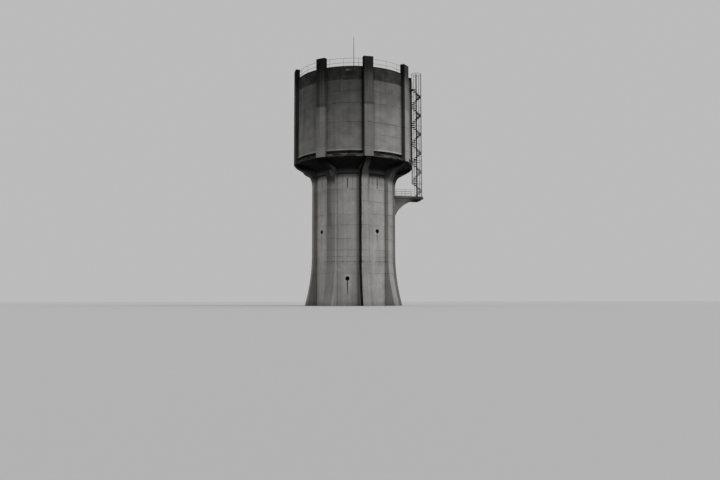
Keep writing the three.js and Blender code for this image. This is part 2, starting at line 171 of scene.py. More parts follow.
class Bench:
    """One mesh on the workbench, shaped with edit-mode tools while everything else is deselected."""

    def __init__(self, name: str) -> None:
        """Takes the object that was just added and puts its place into its mesh.

        Args:
            name: Name of the object.
        """
        self.obj = bpy.context.object
        self.label(name)
        self.settle()

    def label(self, name: str) -> None:
        """Names the object and its mesh."""
        self.obj.name = name
        self.obj.data.name = name

    @staticmethod
    def clear() -> None:
        """Leaves edit mode and deselects everything."""
        if bpy.context.mode != "OBJECT":
            bpy.ops.object.mode_set(mode="OBJECT")
        bpy.ops.object.select_all(action="DESELECT")

    def take(self) -> None:
        """Selects this object alone and makes it the active one."""
        self.clear()
        self.obj.select_set(True)
        bpy.context.view_layer.objects.active = self.obj

    def settle(self) -> None:
        """Moves the object's place, turn and scale into its mesh."""
        self.take()
        bpy.ops.object.transform_apply(location=True, rotation=True, scale=True)

    def edit(self, part: Part) -> None:
        """Enters edit mode.

        Args:
            part: What is going to be selected.
        """
        if bpy.context.mode == "OBJECT":
            self.take()
            bpy.ops.object.mode_set(mode="EDIT")
        bpy.ops.mesh.select_mode(type=part.value)

    def pick(self, part: Part, test: Test) -> None:
        """Selects edges or faces by their place and direction.

        Args:
            part: What to select.
            test: Says yes or no to a middle point and a normal, or for an edge its direction.
        """
        self.edit(part)
        bpy.ops.mesh.select_all(action="DESELECT")
        mesh = bmesh.from_edit_mesh(self.obj.data)
        if part is Part.EDGES:
            ends = [(edge, edge.verts[0].co, edge.verts[1].co) for edge in mesh.edges]
            rows = [(edge, (a + b) / 2, (b - a).normalized()) for edge, a, b in ends]
        else:
            rows = [(face, face.calc_center_median(), face.normal) for face in mesh.faces]
        for thing, place, way in rows:
            if test(place, way):
                thing.select_set(True)
        mesh.select_flush_mode()
        bmesh.update_edit_mesh(self.obj.data)

    def all(self) -> None:
        """Selects the whole mesh, loose points and edges too."""
        self.edit(Part.POINTS)
        bpy.ops.mesh.select_all(action="SELECT")

    @classmethod
    def block(cls, name: str, corner: Point, opposite: Point) -> "Bench":
        """Adds a block.

        Args:
            name: Name of the new piece.
            corner: One corner.
            opposite: The corner that is furthest from it.

        Returns:
            The bench with the block on it.
        """
        cls.clear()
        middle = [(a + b) / 2 for a, b in zip(corner, opposite)]
        size = [abs(b - a) for a, b in zip(corner, opposite)]
        bpy.ops.mesh.primitive_cube_add(size=1, location=middle, scale=size)
        return cls(name)

    @classmethod
    def disc(cls, name: str, centre: Point, way: Point, radius: float, sides: int = 8) -> "Bench":
        """Adds a filled circle.

        Args:
            name: Name of the new piece.
            centre: Its middle.
            way: Direction that it faces.
            radius: Its radius.
            sides: Number of its sides.

        Returns:
            The bench with the circle on it.
        """
        cls.clear()
        turn = Vector(way).to_track_quat("Z", "Y").to_euler()
        bpy.ops.mesh.primitive_circle_add(
            vertices=sides, radius=radius, fill_type="NGON", location=centre, rotation=turn
        )
        return cls(name)

    @classmethod
    def rod(cls, name: str, start: Point, end: Point, radius: float, sides: int = 8) -> "Bench":
        """Draws a disc out into a round bar.

        Args:
            name: Name of the new piece.
            start: Middle of its first end.
            end: Middle of its other end.
            radius: Its radius.
            sides: Number of its sides.

        Returns:
            The bench with the bar on it.
        """
        way = Vector(end) - Vector(start)
        bench = cls.disc(name, start, way, radius, sides)
        bench.pull(way)
        return bench

    @classmethod
    def trace(cls, name: str, outline: Sequence[Point], side: float = 0.0, filled: bool = True) -> "Bench":
        """Draws an outline by extruding one corner from point to point.

        Args:
            name: Name of the new piece.
            outline: Corners in order, as radius and height, or as three coordinates.
            side: The Y of corners that have two coordinates.
            filled: Whether the outline is closed with a face.

        Returns:
            The bench with the outline on it.
        """
        cls.clear()
        points = [Vector(p) if len(p) == 3 else Vector((p[0], side, p[1])) for p in outline]
        bpy.ops.mesh.primitive_plane_add(size=0.1, location=points[0])
        bench = cls(name)
        bench.all()
        bpy.ops.mesh.merge(type="CENTER")
        for start, end in zip(points, points[1:]):
            bench.extrude(end - start)
        if filled:
            bench.all()
            bpy.ops.mesh.edge_face_add()
        return bench

    def extrude(self, shift: Point) -> None:
        """Extrudes what is selected."""
        bpy.ops.mesh.extrude_region_move(TRANSFORM_OT_translate={"value": shift})

    def inset(self, thickness: float, depth: float = 0.0) -> None:
        """Insets the selected faces."""
        bpy.ops.mesh.inset(thickness=thickness, depth=depth)

    def bevel(self, width: float) -> None:
        """Bevels the selected edges."""
        bpy.ops.mesh.bevel(offset=width, segments=1, affect="EDGES")

    def press(self, test: Test, rim: float, depth: float) -> None:
        """Leaves a rim round some faces and moves the rest of them up or down.

        Args:
            test: Picks the faces.
            rim: Width of the rim.
            depth: How far up the rest moves.
        """
        self.pick(Part.FACES, test)
        self.inset(rim)
        self.extrude((0, 0, depth))

    def pull(self, shift: Point) -> None:
        """Extrudes the whole of a flat mesh into a closed body.

        Args:
            shift: How far and which way.
        """
        self.all()
        self.extrude(shift)
        self.face_out()

    def turn(self, degrees: float) -> "Bench":
        """Turns the mesh about the tower's axis.

        Args:
            degrees: Angle of the turn.

        Returns:
            The same bench.
        """
        self.take()
        self.obj.rotation_euler = (0, 0, math.radians(degrees))
        self.settle()
        return self

    def groove(self, heights: Iterable[float]) -> None:
        """Presses grooves into the front and the sides of a rib.

        Args:
            heights: Middles of the grooves.
        """
        for z in heights:
            for cut in (z - LIFT_GROOVE, z + LIFT_GROOVE):
                self.all()
                bpy.ops.mesh.bisect(plane_co=(0, 0, cut), plane_no=(0, 0, 1))
            self.pick(Part.FACES, lambda p, n, z=z: abs(p.z - z) < LIFT_GROOVE * 0.9 and n.x > -0.5)
            self.inset(LIFT_GROOVE * 0.3, -LIFT_GROOVE)

    def spin(self, steps: int, degrees: float = 360.0, centre: Point = (0, 0, 0)) -> None:
        """Turns the mesh anticlockwise about an upright axis.

        Args:
            steps: Number of steps of the turn.
            degrees: Angle of the turn.
            centre: Point on the axis.
        """
        self.all()
        if degrees == 360.0:
            bpy.ops.mesh.delete(type="ONLY_FACE")
            self.all()
        bpy.ops.mesh.spin(steps=steps, angle=-math.radians(degrees), center=centre, axis=(0, 0, 1))
        self.face_out()

    def face_out(self) -> None:
        """Merges doubled points and turns the faces outwards."""
        self.all()
        bpy.ops.mesh.remove_doubles(threshold=WELD)
        bpy.ops.mesh.normals_make_consistent(inside=False)

    def modify(self, kind: str, **settings: Any) -> None:
        """Adds a modifier and applies it.

        Args:
            kind: Its type.
            **settings: Its settings.
        """
        self.take()
        mod = self.obj.modifiers.new("shaping", kind)
        for key, value in settings.items():
            setattr(mod, key, value)
        bpy.ops.object.modifier_apply(modifier=mod.name)

    def soften(self, width: float, segments: int = 2) -> None:
        """Bevels every sharp edge."""
        self.modify("BEVEL", width=width, segments=segments, limit_method="ANGLE", angle_limit=SHARP)

    def carve(self, tool: "Bench") -> None:
        """Cuts another closed mesh out of this one and removes it."""
        self.modify("BOOLEAN", object=tool.obj, operation="DIFFERENCE", solver="EXACT")
        tool.scrap()

    def scrap(self) -> None:
        """Removes the object."""
        bpy.data.objects.remove(self.obj)

    def copy(self, place: Matrix, name: str = "copy") -> "Bench":
        """Copies the mesh to another place.

        Args:
            place: Where the copy goes, from where this one is.
            name: Name of the copy.

        Returns:
            The bench with the copy on it.
        """
        self.take()
        bpy.ops.object.duplicate(linked=False)
        bpy.context.object.matrix_world = place
        return Bench(name)

    def spread(self, places: Iterable[Matrix]) -> list["Bench"]:
        """Copies the mesh to several places and removes the first one.

        Args:
            places: Where the copies go.

        Returns:
            The copies.
        """
        copies = [self.copy(place) for place in places]
        self.scrap()
        return copies

    def finish(self, material: Material, slot: Slot, *nodes: str) -> None:
        """Gives the piece its finish, hangs it on the root body and hides the CAD nodes that it stands for.

        Args:
            material: The finish.
            slot: The record's material slot; not used.
            *nodes: CAD nodes that this piece stands for.
        """
        self.take()
        bpy.ops.object.shade_smooth_by_angle(angle=SMOOTH)
        self.clear()
        paint(self.obj, material)
        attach(self.obj, "root")
        if nodes:
            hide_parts(*nodes)
        log.info("%s: %d faces", self.obj.name, len(self.obj.data.polygons))


def gather(pieces: Sequence[Bench], name: str) -> Bench:
    """Joins several meshes into one piece.

    Args:
        pieces: The meshes.
        name: Name of the piece.

    Returns:
        The bench with the piece on it.
    """
    whole = pieces[0]
    whole.take()
    for piece in pieces[1:]:
        piece.obj.select_set(True)
    bpy.ops.object.join()
    whole.label(name)
    return whole


def lay_rails(corners: Sequence[Point], floor: float, heights: Iterable[float]) -> list[Bench]:
    """Lays straight tube rails from corner to corner.

    Args:
        corners: Places of the rails' ends, in order.
        floor: What the heights are counted from.
        heights: Tops of the rails.

    Returns:
        The rails.
    """
    levels = [floor + height - TUBE for height in heights]
    spans = list(zip(corners, corners[1:]))
    return [Bench.rod("rail", (*start, z), (*end, z), TUBE * 0.9) for z in levels for start, end in spans]


# Finishes


class Value:
    """A number on its way through a finish: an operator adds the Math node that it stands for."""

    def __init__(self, board: "Board", socket: Socket) -> None:
        """Wraps an output socket."""
        self.board = board
        self.socket = socket

    def __add__(self, other: Number) -> "Value":
        """Adds."""
        return self.board.math("ADD", self, other)

    __radd__ = __add__

    def __sub__(self, other: Number) -> "Value":
        """Subtracts."""
        return self.board.math("SUBTRACT", self, other)

    def __rsub__(self, other: Number) -> "Value":
        """Subtracts from a number."""
        return self.board.math("SUBTRACT", other, self)

    def __mul__(self, other: Number) -> "Value":
        """Multiplies."""
        return self.board.math("MULTIPLY", self, other)

    __rmul__ = __mul__

    def __truediv__(self, other: Number) -> "Value":
        """Divides."""
        return self.board.math("DIVIDE", self, other)

    def __abs__(self) -> "Value":
        """Drops the sign."""
        return self.board.math("ABSOLUTE", self)

    def rise(self, start: float, end: float) -> "Value":
        """Makes a smooth step.

        Args:
            start: Where it is 0, which may be the higher of the two.
            end: Where it is 1.

        Returns:
            The step.
        """
        low, high = min(start, end), max(start, end)
        sockets = {"Value": self, "From Min": low, "From Max": high}
        made = self.board.node("ShaderNodeMapRange", sockets, interpolation_type="SMOOTHSTEP")
        step = Value(self.board, made.outputs["Result"])
        return step if start < end else 1 - step

    def near(self, place: float, half: float, soft: float) -> "Value":
        """Returns 1 within half of a place and 0 beyond half plus soft."""
        return abs(self - place).rise(half + soft, half)

    def between(self, low: float, high: float, soft: float) -> "Value":
        """Returns 1 from low to high, fading over soft outside them."""
        return self.rise(low - soft, low) * self.rise(high + soft, high)


class Board:
    """The node tree of one finish."""

    def __init__(self, name: str) -> None:
        """Makes the material and its output.

        Args:
            name: Name of the material.
        """
        self.material = bpy.data.materials.new(name)
        self.material.use_nodes = True
        self.tree = self.material.node_tree
        self.tree.nodes.clear()
        self.output = self.node("ShaderNodeOutputMaterial", {})
        self.place = self.node("ShaderNodeTexCoord", {}).outputs["Object"]

    def node(self, kind: str, sockets: Mapping[str | int, Any], **settings: Any) -> bpy.types.Node:
        """Adds a node.

        Args:
            kind: Its type.
            sockets: Values or links of its inputs, by name or number.
            **settings: Its own settings; "tones" are the greys of a stepped ramp.

        Returns:
            The new node.
        """
        made = self.tree.nodes.new(kind)
        for key, value in settings.items():
            if key == "tones":
                ramp = made.color_ramp
                ramp.interpolation = "CONSTANT"
                ramp.elements.remove(ramp.elements[1])
                for i, tone in enumerate(value):
                    stop = ramp.elements.new(i / len(value)) if i else ramp.elements[0]
                    stop.color = (tone, tone, tone, 1)
            else:
                setattr(made, key, value)
        for key, value in sockets.items():
            if isinstance(value, Value):
                self.tree.links.new(value.socket, made.inputs[key])
            elif isinstance(value, Socket):
                self.tree.links.new(value, made.inputs[key])
            else:
                made.inputs[key].default_value = value
        return made

    def math(self, operation: str, *terms: Number) -> Value:
        """Adds a Math node and returns its result."""
        made = self.node("ShaderNodeMath", dict(enumerate(terms)), operation=operation)
        return Value(self, made.outputs["Value"])

    def noise(self, seed: float, across: float, up: float, detail: float = 4.0) -> Value:
        """Makes noise from 0 to 1.

        Args:
            seed: Shift of the pattern, so that no two are alike.
            across: Its scale along the level axes.
            up: Its scale along the upright axis.
            detail: Its detail.

        Returns:
            The noise.
        """
        shift = (seed, 0.7 * seed, 0.3 * seed)
        sockets = {"Vector": self.place, "Scale": (across, across, up), "Location": shift}
        moved = self.node("ShaderNodeMapping", sockets).outputs["Vector"]
        sockets = {"Vector": moved, "Scale": 1.0, "Detail": detail, "Roughness": 0.55}
        return Value(self, self.node("ShaderNodeTexNoise", sockets).outputs["Fac"])

    def chance(self, a: Number, b: Number) -> Value:
        """Makes one random number from 0 to 1 for each pair of whole numbers.

        Args:
            a: First number of the pair.
            b: Second number of the pair.

        Returns:
            The random number.
        """
        cell = self.node("ShaderNodeCombineXYZ", {"X": a, "Y": b}).outputs["Vector"]
        made = self.node("ShaderNodeTexWhiteNoise", {"Vector": cell}, noise_dimensions="2D")
        return Value(self, made.outputs["Value"])

    def table(self, index: Value, tones: Row) -> Value:
        """Returns the tone at a whole number's place in a row of tones, none of them below 0."""
        made = self.node("ShaderNodeValToRGB", {"Fac": (index + 0.5) / len(tones)}, tones=tones)
        return Value(self, made.outputs["Color"])

    def mix(self, share: Number, first: Any, second: Any) -> Socket:
        """Mixes two colours.

        Args:
            share: How much of the second one there is, from 0 to 1.
            first: A colour or its socket.
            second: Another colour or its socket.

        Returns:
            The mixed colour.
        """
        sockets = {"Factor": share, "A": first, "B": second}
        made = self.node("ShaderNodeMix", sockets, data_type="RGBA", clamp_factor=True)
        return next(s for s in made.outputs if s.type == "RGBA")

    def grey(self, tone: Number, light: Point) -> Socket:
        """Returns a colour from black to a light one by a tone from 0 to 1."""
        return self.mix(tone, (0, 0, 0, 1), (*light, 1))

    def bump(self, grain: Value, strength: float, distance: float) -> Socket:
        """Returns the normal of a surface with grain on it."""
        sockets = {"Height": grain, "Strength": strength, "Distance": distance}
        return self.node("ShaderNodeBump", sockets).outputs["Normal"]

    def close(self, sockets: Mapping[str, Any]) -> Material:
        """Adds the surface shader.

        Args:
            sockets: Values or links of its inputs, by name.

        Returns:
            The finished material.
        """
        shader = self.node("ShaderNodeBsdfPrincipled", sockets)
        self.tree.links.new(shader.outputs["BSDF"], self.output.inputs["Surface"])
        return self.material


class Survey(Board):
    """A node tree with the tower's own coordinates: which rib and panel, and how far beside their middles."""

    def __init__(self, name: str) -> None:
        """Works the coordinates out from the object's.

        Args:
            name: Name of the material.
        """
        super().__init__(name)
        split = self.node("ShaderNodeSeparateXYZ", {"Vector": self.place})
        self.x, y, self.z = (Value(self, split.outputs[axis]) for axis in "XYZ")
        step = math.radians(STEP)
        self.angle = self.math("ARCTAN2", y, self.x)
        self.radius = self.math("SQRT", self.x * self.x + y * y)
        rib = self.math("ROUND", self.angle / step)
        panel = self.math("FLOOR", self.angle / step)
        self.rib = self.math("FLOORED_MODULO", rib, RIBS)
        self.panel = self.math("FLOORED_MODULO", panel, RIBS)
        self.off_rib = self.radius * self.math("SINE", self.angle - rib * step)
        self.off_panel = self.radius * self.math("SINE", self.angle - (panel + 0.5) * step)

    def on(self, rib: Rib) -> Value:
        """Returns 1 round one rib and 0 round the others."""
        return self.rib.near(rib.value, 0.1, 0.1)

    def side(self) -> Value:
        """Returns 1 on the sides of a rib or buttress and 0 on its face."""
        return abs(self.off_rib).rise(RIB_HALF - 0.01, RIB_HALF - 0.005)


def faded(stains_and_shade: Mapping[Value, float]) -> Value:
    """Returns the share of light that stains and painted shade leave, each with its strength, below 0 for a
    pale one or painted light.
    """
    return math.prod(1 - stain * strength for stain, strength in stains_and_shade.items())


@dataclass(frozen=True)
class Concrete:
    """Weathered cast concrete: boards, lifts, soft clouds and runs of water over a base tone.

    The eight tones belong to the eight ribs or panels, anticlockwise from +X. Besides the concrete's own tone
    they hold painted light and shade: paler on members that face the light, darker on those in shade.
    """

    name: str
    tones: Row
    lifts: Row = ()
    main_lift: float = 0.0
    on_ribs: bool = False
    cloud: float = 0.24
    runs: float = 0.18
    board_width: float = 0.12
    board_tone: float = 0.08
    tint: Triple = (1.0, 0.985, 0.96)

    def stains_and_shade(self, board: Survey) -> Number:
        """Returns the share of light that stains and painted shade leave; bare concrete has none."""
        return 1.0

    def joints(self, board: Survey, member: Value) -> tuple[Number, Number]:
        """Works out the lifts.

        Args:
            board: The finish's tree.
            member: Number of the rib or panel.

        Returns:
            The share of light that the joints leave, and the number of the lift at each point.
        """
        dashes = board.noise(21, 1.6, 0.5).rise(0.36, 0.62)
        runs = board.noise(27, 4.0, 0.4, 3.0).rise(0.45, 0.7)
        left, lift = 1.0, 0.0
        for i, height in enumerate(self.lifts):
            strength = board.chance(member, i + 0.5) * 0.5 + (0.55 if height == self.main_lift else 0.2)
            left = left * (1 - board.z.near(height, 0.012, 0.035) * dashes * strength)
            left = left * (1 - board.z.between(height - 0.5, height, 0.02) * runs * strength * 0.2)
            lift = lift + board.math("GREATER_THAN", board.z, height)
        return left, lift

    def build(self) -> Material:
        """Makes the material.

        Returns:
            The finished material.
        """
        board = Survey(self.name)
        member = board.rib if self.on_ribs else board.panel
        cloud = board.noise(3, 0.5, 0.35, 5.0)
        fine = board.noise(11, 7.0, 7.0)
        runs = board.noise(7, 2.2, 0.08)
        joints, lift = self.joints(board, member)
        across = board.off_rib if self.on_ribs else board.angle * board.radius
        plank = board.math("FLOOR", across / self.board_width)
        boards = (board.chance(plank, lift) - 0.5) * self.board_tone
        boards = boards + (board.chance(member + 20, lift) - 0.5) * 0.12
        tone = board.table(member, self.tones) * (1 + boards)
        tone = tone * (1 + (cloud - 0.5) * (3 * self.cloud) + (fine - 0.5) * 0.3)
        tone = tone * (1 + (runs - 0.5) * (3 * self.runs))
        tone = tone * joints * self.stains_and_shade(board)
        grain = board.noise(1, 30.0, 30.0) + board.chance(plank, lift) * 0.6
        return board.close(
            {
                "Base Color": board.grey(tone, self.tint),
                "Roughness": 0.95,
                "Specular IOR Level": 0.08,
                "Normal": board.bump(grain, 0.3, 0.006),
            }
        )


@dataclass(frozen=True)
class ShaftConcrete(Concrete):
    """Shaft wall: streaks under the windows; painted shade under the overhang, in the window reveals and
    slits, along the rib roots, under the neck's foot and beside the banded rib, with painted light a little
    further from that rib.
    """

    # Strengths, panel by panel, of the painted shade under the overhang and of the painted shade that reaches
    # lower.
    shades: Row = (0.7, 0.7, 0.7, 0.7, 0.7, 0.7, 0.92, 0.7)
    veils: Row = (0.12, 0.0, 0.12, 0.0, 0.08, 0.0, 0.17, 0.0)
    washed: Row = (0.0, 0.0, 0.0, 0.0, 0.0, 0.0, 0.09, 0.0)

    def stains_and_shade(self, board: Survey) -> Value:
        """Maps the stains and the painted light and shade.

        Args:
            board: The finish's tree.

        Returns:
            The share of light that they leave.
        """
        z, off_rib, off_panel = board.z, board.off_rib, board.off_panel
        ragged = board.noise(5, 5.0, 0.5).rise(0.35, 0.6)
        banded = board.on(Rib.STAINED)
        high, low = WINDOWS
        odd = board.math("FLOORED_MODULO", board.panel, 2.0)
        below = high - odd * (high - low) - z
        reach = below.rise(2.6, 0.4) + odd * 0.5
        streak = off_panel.near(0.0, 0.035, 0.08) * below.rise(0.1, 0.3) * reach * ragged
        from_window = board.math("SQRT", off_panel * off_panel + below * below)
        halo = from_window.near(0.42, 0.06, 0.1)
        # Painted shade inside the window's reveal.
        reveal = from_window.rise(0.262, 0.252)
        # Painted shade under the overhang, reaching lower on some panels.
        under = z.rise(16.75, 17.4) * board.table(board.panel, self.shades)
        veil = z.rise(15.95, 16.3) * board.table(board.panel, self.veils)
        pale_foot = z.rise(6.2, 5.4) * board.table(board.panel, self.washed)
        # Painted shade on the wall beside the banded rib, and painted light a little further off.
        beside = banded * off_rib.between(-0.82, -0.5, 0.14)
        pale = banded * off_rib.between(-1.3, -0.96, 0.12)
        groin = banded * off_rib.between(0.6, 0.86, 0.1) * z.rise(12.5, 16.8)
        # Painted shade in the corners where the ribs meet the wall.
        root = abs(off_rib).rise(0.76, 0.68)
        foot = z.rise(0.9, 0.0)
        # Painted shadow line under the foot of the neck.
        seam = z.near(17.56, 0.03, 0.06)
        smear = board.noise(31, 0.9, 1.3).rise(0.56, 0.7)
        upright = abs(off_panel).near(0.72, 0.01, 0.04) * z.between(15.6, 17.2, 0.1) * ragged
        # Painted shade inside the slit.
        slit = off_panel.near(0.0, 0.055, 0.01) * z.between(15.64, 17.01, 0.01)
        window = faded({streak: 0.75, halo: -0.16, reveal: 0.95, slit: 0.85, upright: 0.5})
        rib = faded({beside: 0.26, pale: -0.12, groin: 0.4, root: 0.25, foot: 0.25})
        return window * rib * faded({smear: -0.15, seam: 0.75, under: 1.0, veil: 1.0, pale_foot: -1.0})


@dataclass(frozen=True)
class RibConcrete(Concrete):
    """Ribs: one has a black band down its corner; all carry painted shade where they lean out under the ring,
    across their heads and on their sides, and one head has a painted highlight and shadow line.
    """

    # Share of light left on each rib's sides: painted side shade, and painted light where above 1.
    sides: Row = (0.7, 0.7, 0.74, 0.74, 0.7, 1.28, 0.5, 0.76)
    # How far across each head the painted shade reaches.
    head_shade_reach: Row = (0.4, 0.4, 0.4, 0.4, 0.4, 1.6, 0.32, 0.6)
    # Strength of the painted light on the sides of each head.
    lit: Row = (0.0, 0.0, 0.0, 0.0, 0.0, 0.3, 0.0, 0.0)
    # How far down, rib by rib, the painted shade under the ring reaches on the face.
    sags: Row = (0.2, 0.3, 0.0, 0.2, 0.1, 0.7, 0.0, 0.35)

    def stains_and_shade(self, board: Survey) -> Value:
        """Maps the stains and the painted light and shade.

        Args:
            board: The finish's tree.

        Returns:
            The share of light that they leave.
        """
        z, off_rib = board.z, board.off_rib
        ragged = (board.noise(9, 2.5, 1.2, 5.0) - 0.5) * 0.16
        thin = board.noise(37, 3.0, 0.7).rise(0.3, 0.7)
        specks = board.noise(49, 5.0, 2.2).rise(0.56, 0.64)
        side = board.side()
        face = 1 - side
        banded, shaded, corner_shaded = board.on(Rib.STAINED), board.on(Rib.SHADED) * face, board.on(Rib.WORN) * face
        strip = banded * face * (off_rib + ragged).rise(-0.27, -0.34) * (0.95 + thin * 0.035)
        groin = banded * face * off_rib.rise(0.42, 0.6) * z.rise(12.5, 16.8)
        flecks = banded * off_rib.near(-0.24, 0.05, 0.04) * specks
        # Painted shade along the left corner of one rib's face.
        arris = corner_shaded * off_rib.rise(-0.5, -0.6)
        grime = corner_shaded * z.between(18.3, 18.72, 0.12)
        half = shaded * (off_rib + ragged).rise(0.05, -0.12) * (z + ragged * 12).rise(9.0, 13.0)
        # Painted highlight and painted shadow line on the shaded rib's head.
        gleam = shaded * off_rib.between(0.02, 0.46, 0.08) * z.between(17.35, 18.2, 0.15)
        head_shadow_line = shaded * off_rib.near(-0.12, 0.05, 0.05) * z.between(17.2, 18.1, 0.1)
        # Painted shade where the ribs lean out under the ring.
        height = z + board.table(board.rib, self.sags) * face * z.rise(17.9, 17.4)
        lean, step = height.rise(16.5, 17.6), height.rise(18.2, 19.05)
        neck = z.rise(17.75, 18.15)
        # Painted shade across the heads under the ring.
        head_face_shade = (off_rib + board.table(board.rib, self.head_shade_reach)).rise(0.58, 0.74) * neck * face
        # Painted light on the sides of one head.
        lit = side * neck * z.rise(18.9, 18.2) * board.table(board.rib, self.lit)
        # Painted shade on the sides, darker again at the heads.
        side_shade = side * (1 - board.table(board.rib, self.sides))
        head_side_shade = side * z.rise(18.2, 18.8)
        foot = z.rise(0.8, 0.0)
        top = faded({lean: 0.8, step: 0.85, head_face_shade: 0.8, lit: -1.0, side_shade: 1.0, head_side_shade: 0.7})
        marks = faded({gleam: -0.5, grime: 0.52, head_shadow_line: 0.6, groin: 0.4, half: 0.34, flecks: -0.5})
        return top * marks * faded({strip: 1.0, arris: 0.45, foot: 0.2})


@dataclass(frozen=True)
class TankConcrete(Concrete):
    """Tank wall: a dirty band under the rim with runs below it, paler towards its washed lower edge, and
    painted shade under its lip, in the corners at the buttresses and beside the shaded buttress.
    """

    band: float = 29.5
    lip: float = 20.36
    radius: float = 7.98
    washed: Row = (0.6, 0.6, 0.6, 0.6, 0.55, 0.5, 0.42, 0.55)
    mark: Pair = (math.radians(-108), 30.85)
    bright: float = 1.08

    def stains_and_shade(self, board: Survey) -> Value:
        """Maps the stains and the painted shade.

        Args:
            board: The finish's tree.

        Returns:
            The share of light that they leave.
        """
        z, off_rib = board.z, board.off_rib
        ragged = (board.noise(13, 1.2, 0.05) - 0.5) * 1.6
        patch = board.noise(17, 1.0, 1.0).rise(0.3, 0.75)
        band = (z + ragged * 0.3).rise(self.band, self.band + 0.2)
        chips = board.noise(29, 1.6, 4.0, 5.0).rise(0.66, 0.7) * band
        runs = (z + ragged * 2.5).rise(self.band - 5.0, self.band + 0.4)
        low = z.rise(27.0, 21.5) * board.table(board.panel, self.washed)
        rim = z.rise(31.15, 31.3)
        cast = board.noise(43, 0.55, 0.9).rise(0.35, 0.68)
        upright = board.off_panel.near(-0.62, 0.012, 0.05) * z.between(28.06, 31.2, 0.1)
        angle, height = self.mark
        off_mark = abs(board.math("WRAP", board.angle - angle, math.pi, -math.pi)) * self.radius
        mark = off_mark.rise(0.5, 0.2) * z.near(height, 0.05, 0.06)
        mark = mark * board.noise(33, 5.0, 9.0, 3.0).rise(0.42, 0.55)
        strip = board.on(Rib.STAINED) * off_rib.between(-0.75, -0.5, 0.04)
        # Painted shadow of the shaded buttress on the wall beside it.
        beside = board.on(Rib.SHADED) * off_rib.between(-1.4, -0.6, 0.35)
        # Painted shade in the corners where the buttresses meet the wall.
        root = abs(off_rib).near(0.84, 0.05, 0.04) * z.rise(self.lip, self.lip + 0.05)
        lip = z.rise(self.lip + 0.02, self.lip)
        # Painted shade under the wall's lip.
        below = z.rise(20.175, 20.165)
        band = band * (0.78 - patch * 0.25)
        dirt = faded({band: 1.0, runs: 0.34, rim: 0.6, strip: 0.9, cast: 0.2, upright: 0.4})
        dark = faded({below: 0.9, root: 0.28, beside: 0.14})
        return dirt * dark * faded({low: -1.0, lip: -0.5, chips: -2.5, mark: -9.0}) * self.bright


@dataclass(frozen=True)
class ButtressConcrete(Concrete):
    """Buttresses: black heads, streaks down to the main joint, paler below it, painted shade on the sides and
    on half of the shaded buttress.
    """

    upper: Row = (0.4, 0.3, 0.4, 0.3, 0.1, 0.6, 0.5, 0.26)
    # Share of light left on each buttress's sides: a painted side shade.
    sides: Row = (0.3, 0.38, 0.38, 0.38, 0.38, 0.6, 0.38, 0.17)
    fades: Row = (0.1, 0.0, 0.1, 0.1, 0.0, 0.15, 0.13, 0.0)
    drops: Row = (0.0, 0.0, 0.0, 0.0, 0.2, 0.4, 0.25, 0.0)
    corners: Row = (1.0, 1.0, 1.0, 1.0, 1.0, 1.0, 0.54, 0.44)
    head: float = 31.0

    def stains_and_shade(self, board: Survey) -> Value:
        """Maps the stains and the painted shade.

        Args:
            board: The finish's tree.

        Returns:
            The share of light that they leave.
        """
        z, off_rib, joint, foot = board.z, board.off_rib, self.main_lift, self.lifts[0]
        side = board.side()
        ragged = (board.noise(19, 6.0, 0.2) - 0.5) * 2
        head = (z + ragged * 0.8).rise(self.head - 2.2, self.head + 0.6)
        share = board.table(board.rib, self.upper) * (0.95 + z.rise(26.0, 30.0) * 0.3)
        above = z + board.table(board.rib, self.drops)
        upper = above.rise(joint - 0.02, joint + 0.02) * (share + ragged * 0.25)
        block = z.rise(foot + 0.01, foot - 0.01)
        strip = board.on(Rib.STAINED) * off_rib.rise(-0.645, -0.66)
        corner = (off_rib + board.table(board.rib, self.corners)).rise(0.03, -0.03) * (1 - side)
        # Painted shade on the left half of the shaded buttress.
        shade = board.on(Rib.SHADED) * off_rib.rise(0.15, -0.3) * z.rise(20.5, 26.0)
        fade = board.table(board.rib, self.fades) * z.between(25.2, 26.25, 0.6)
        # Painted shade on the sides.
        side_shade = side * (1 - board.table(board.rib, self.sides))
        front = faded({head: 0.8, upper: 1.0, block: -0.12, shade: 0.4, fade: 1.0})
        return front * faded({side_shade: 1.0, strip: 0.6, corner: 0.85})


@dataclass(frozen=True)
class NeckConcrete(Concrete):
    """Underside of the flared neck: a painted shadow, nearly black, with painted light on its foot and a
    painted shadow line along it.
    """

    def stains_and_shade(self, board: Survey) -> Value:
        """Returns the share of light that the painted light and shade leave."""
        # Painted light on the foot of the neck, and a painted shadow line where it meets the wall.
        return faded({board.z.rise(18.35, 17.7): -7.0, board.z.near(17.6, 0.04, 0.06): 0.7})


@dataclass(frozen=True)
class RingConcrete(Concrete):
    """Ring beam: patches of pale washed concrete on grime, and painted shade in the groove above it."""

    def stains_and_shade(self, board: Survey) -> Value:
        """Returns the share of light that the stains and the painted shade leave."""
        patch = board.noise(23, 1.1, 3.0, 5.0).rise(0.38, 0.62)
        # Painted shade in the groove between the ring and the wall.
        return (0.35 + patch * 1.25) * faded({board.radius.rise(8.15, 8.05): 0.7})


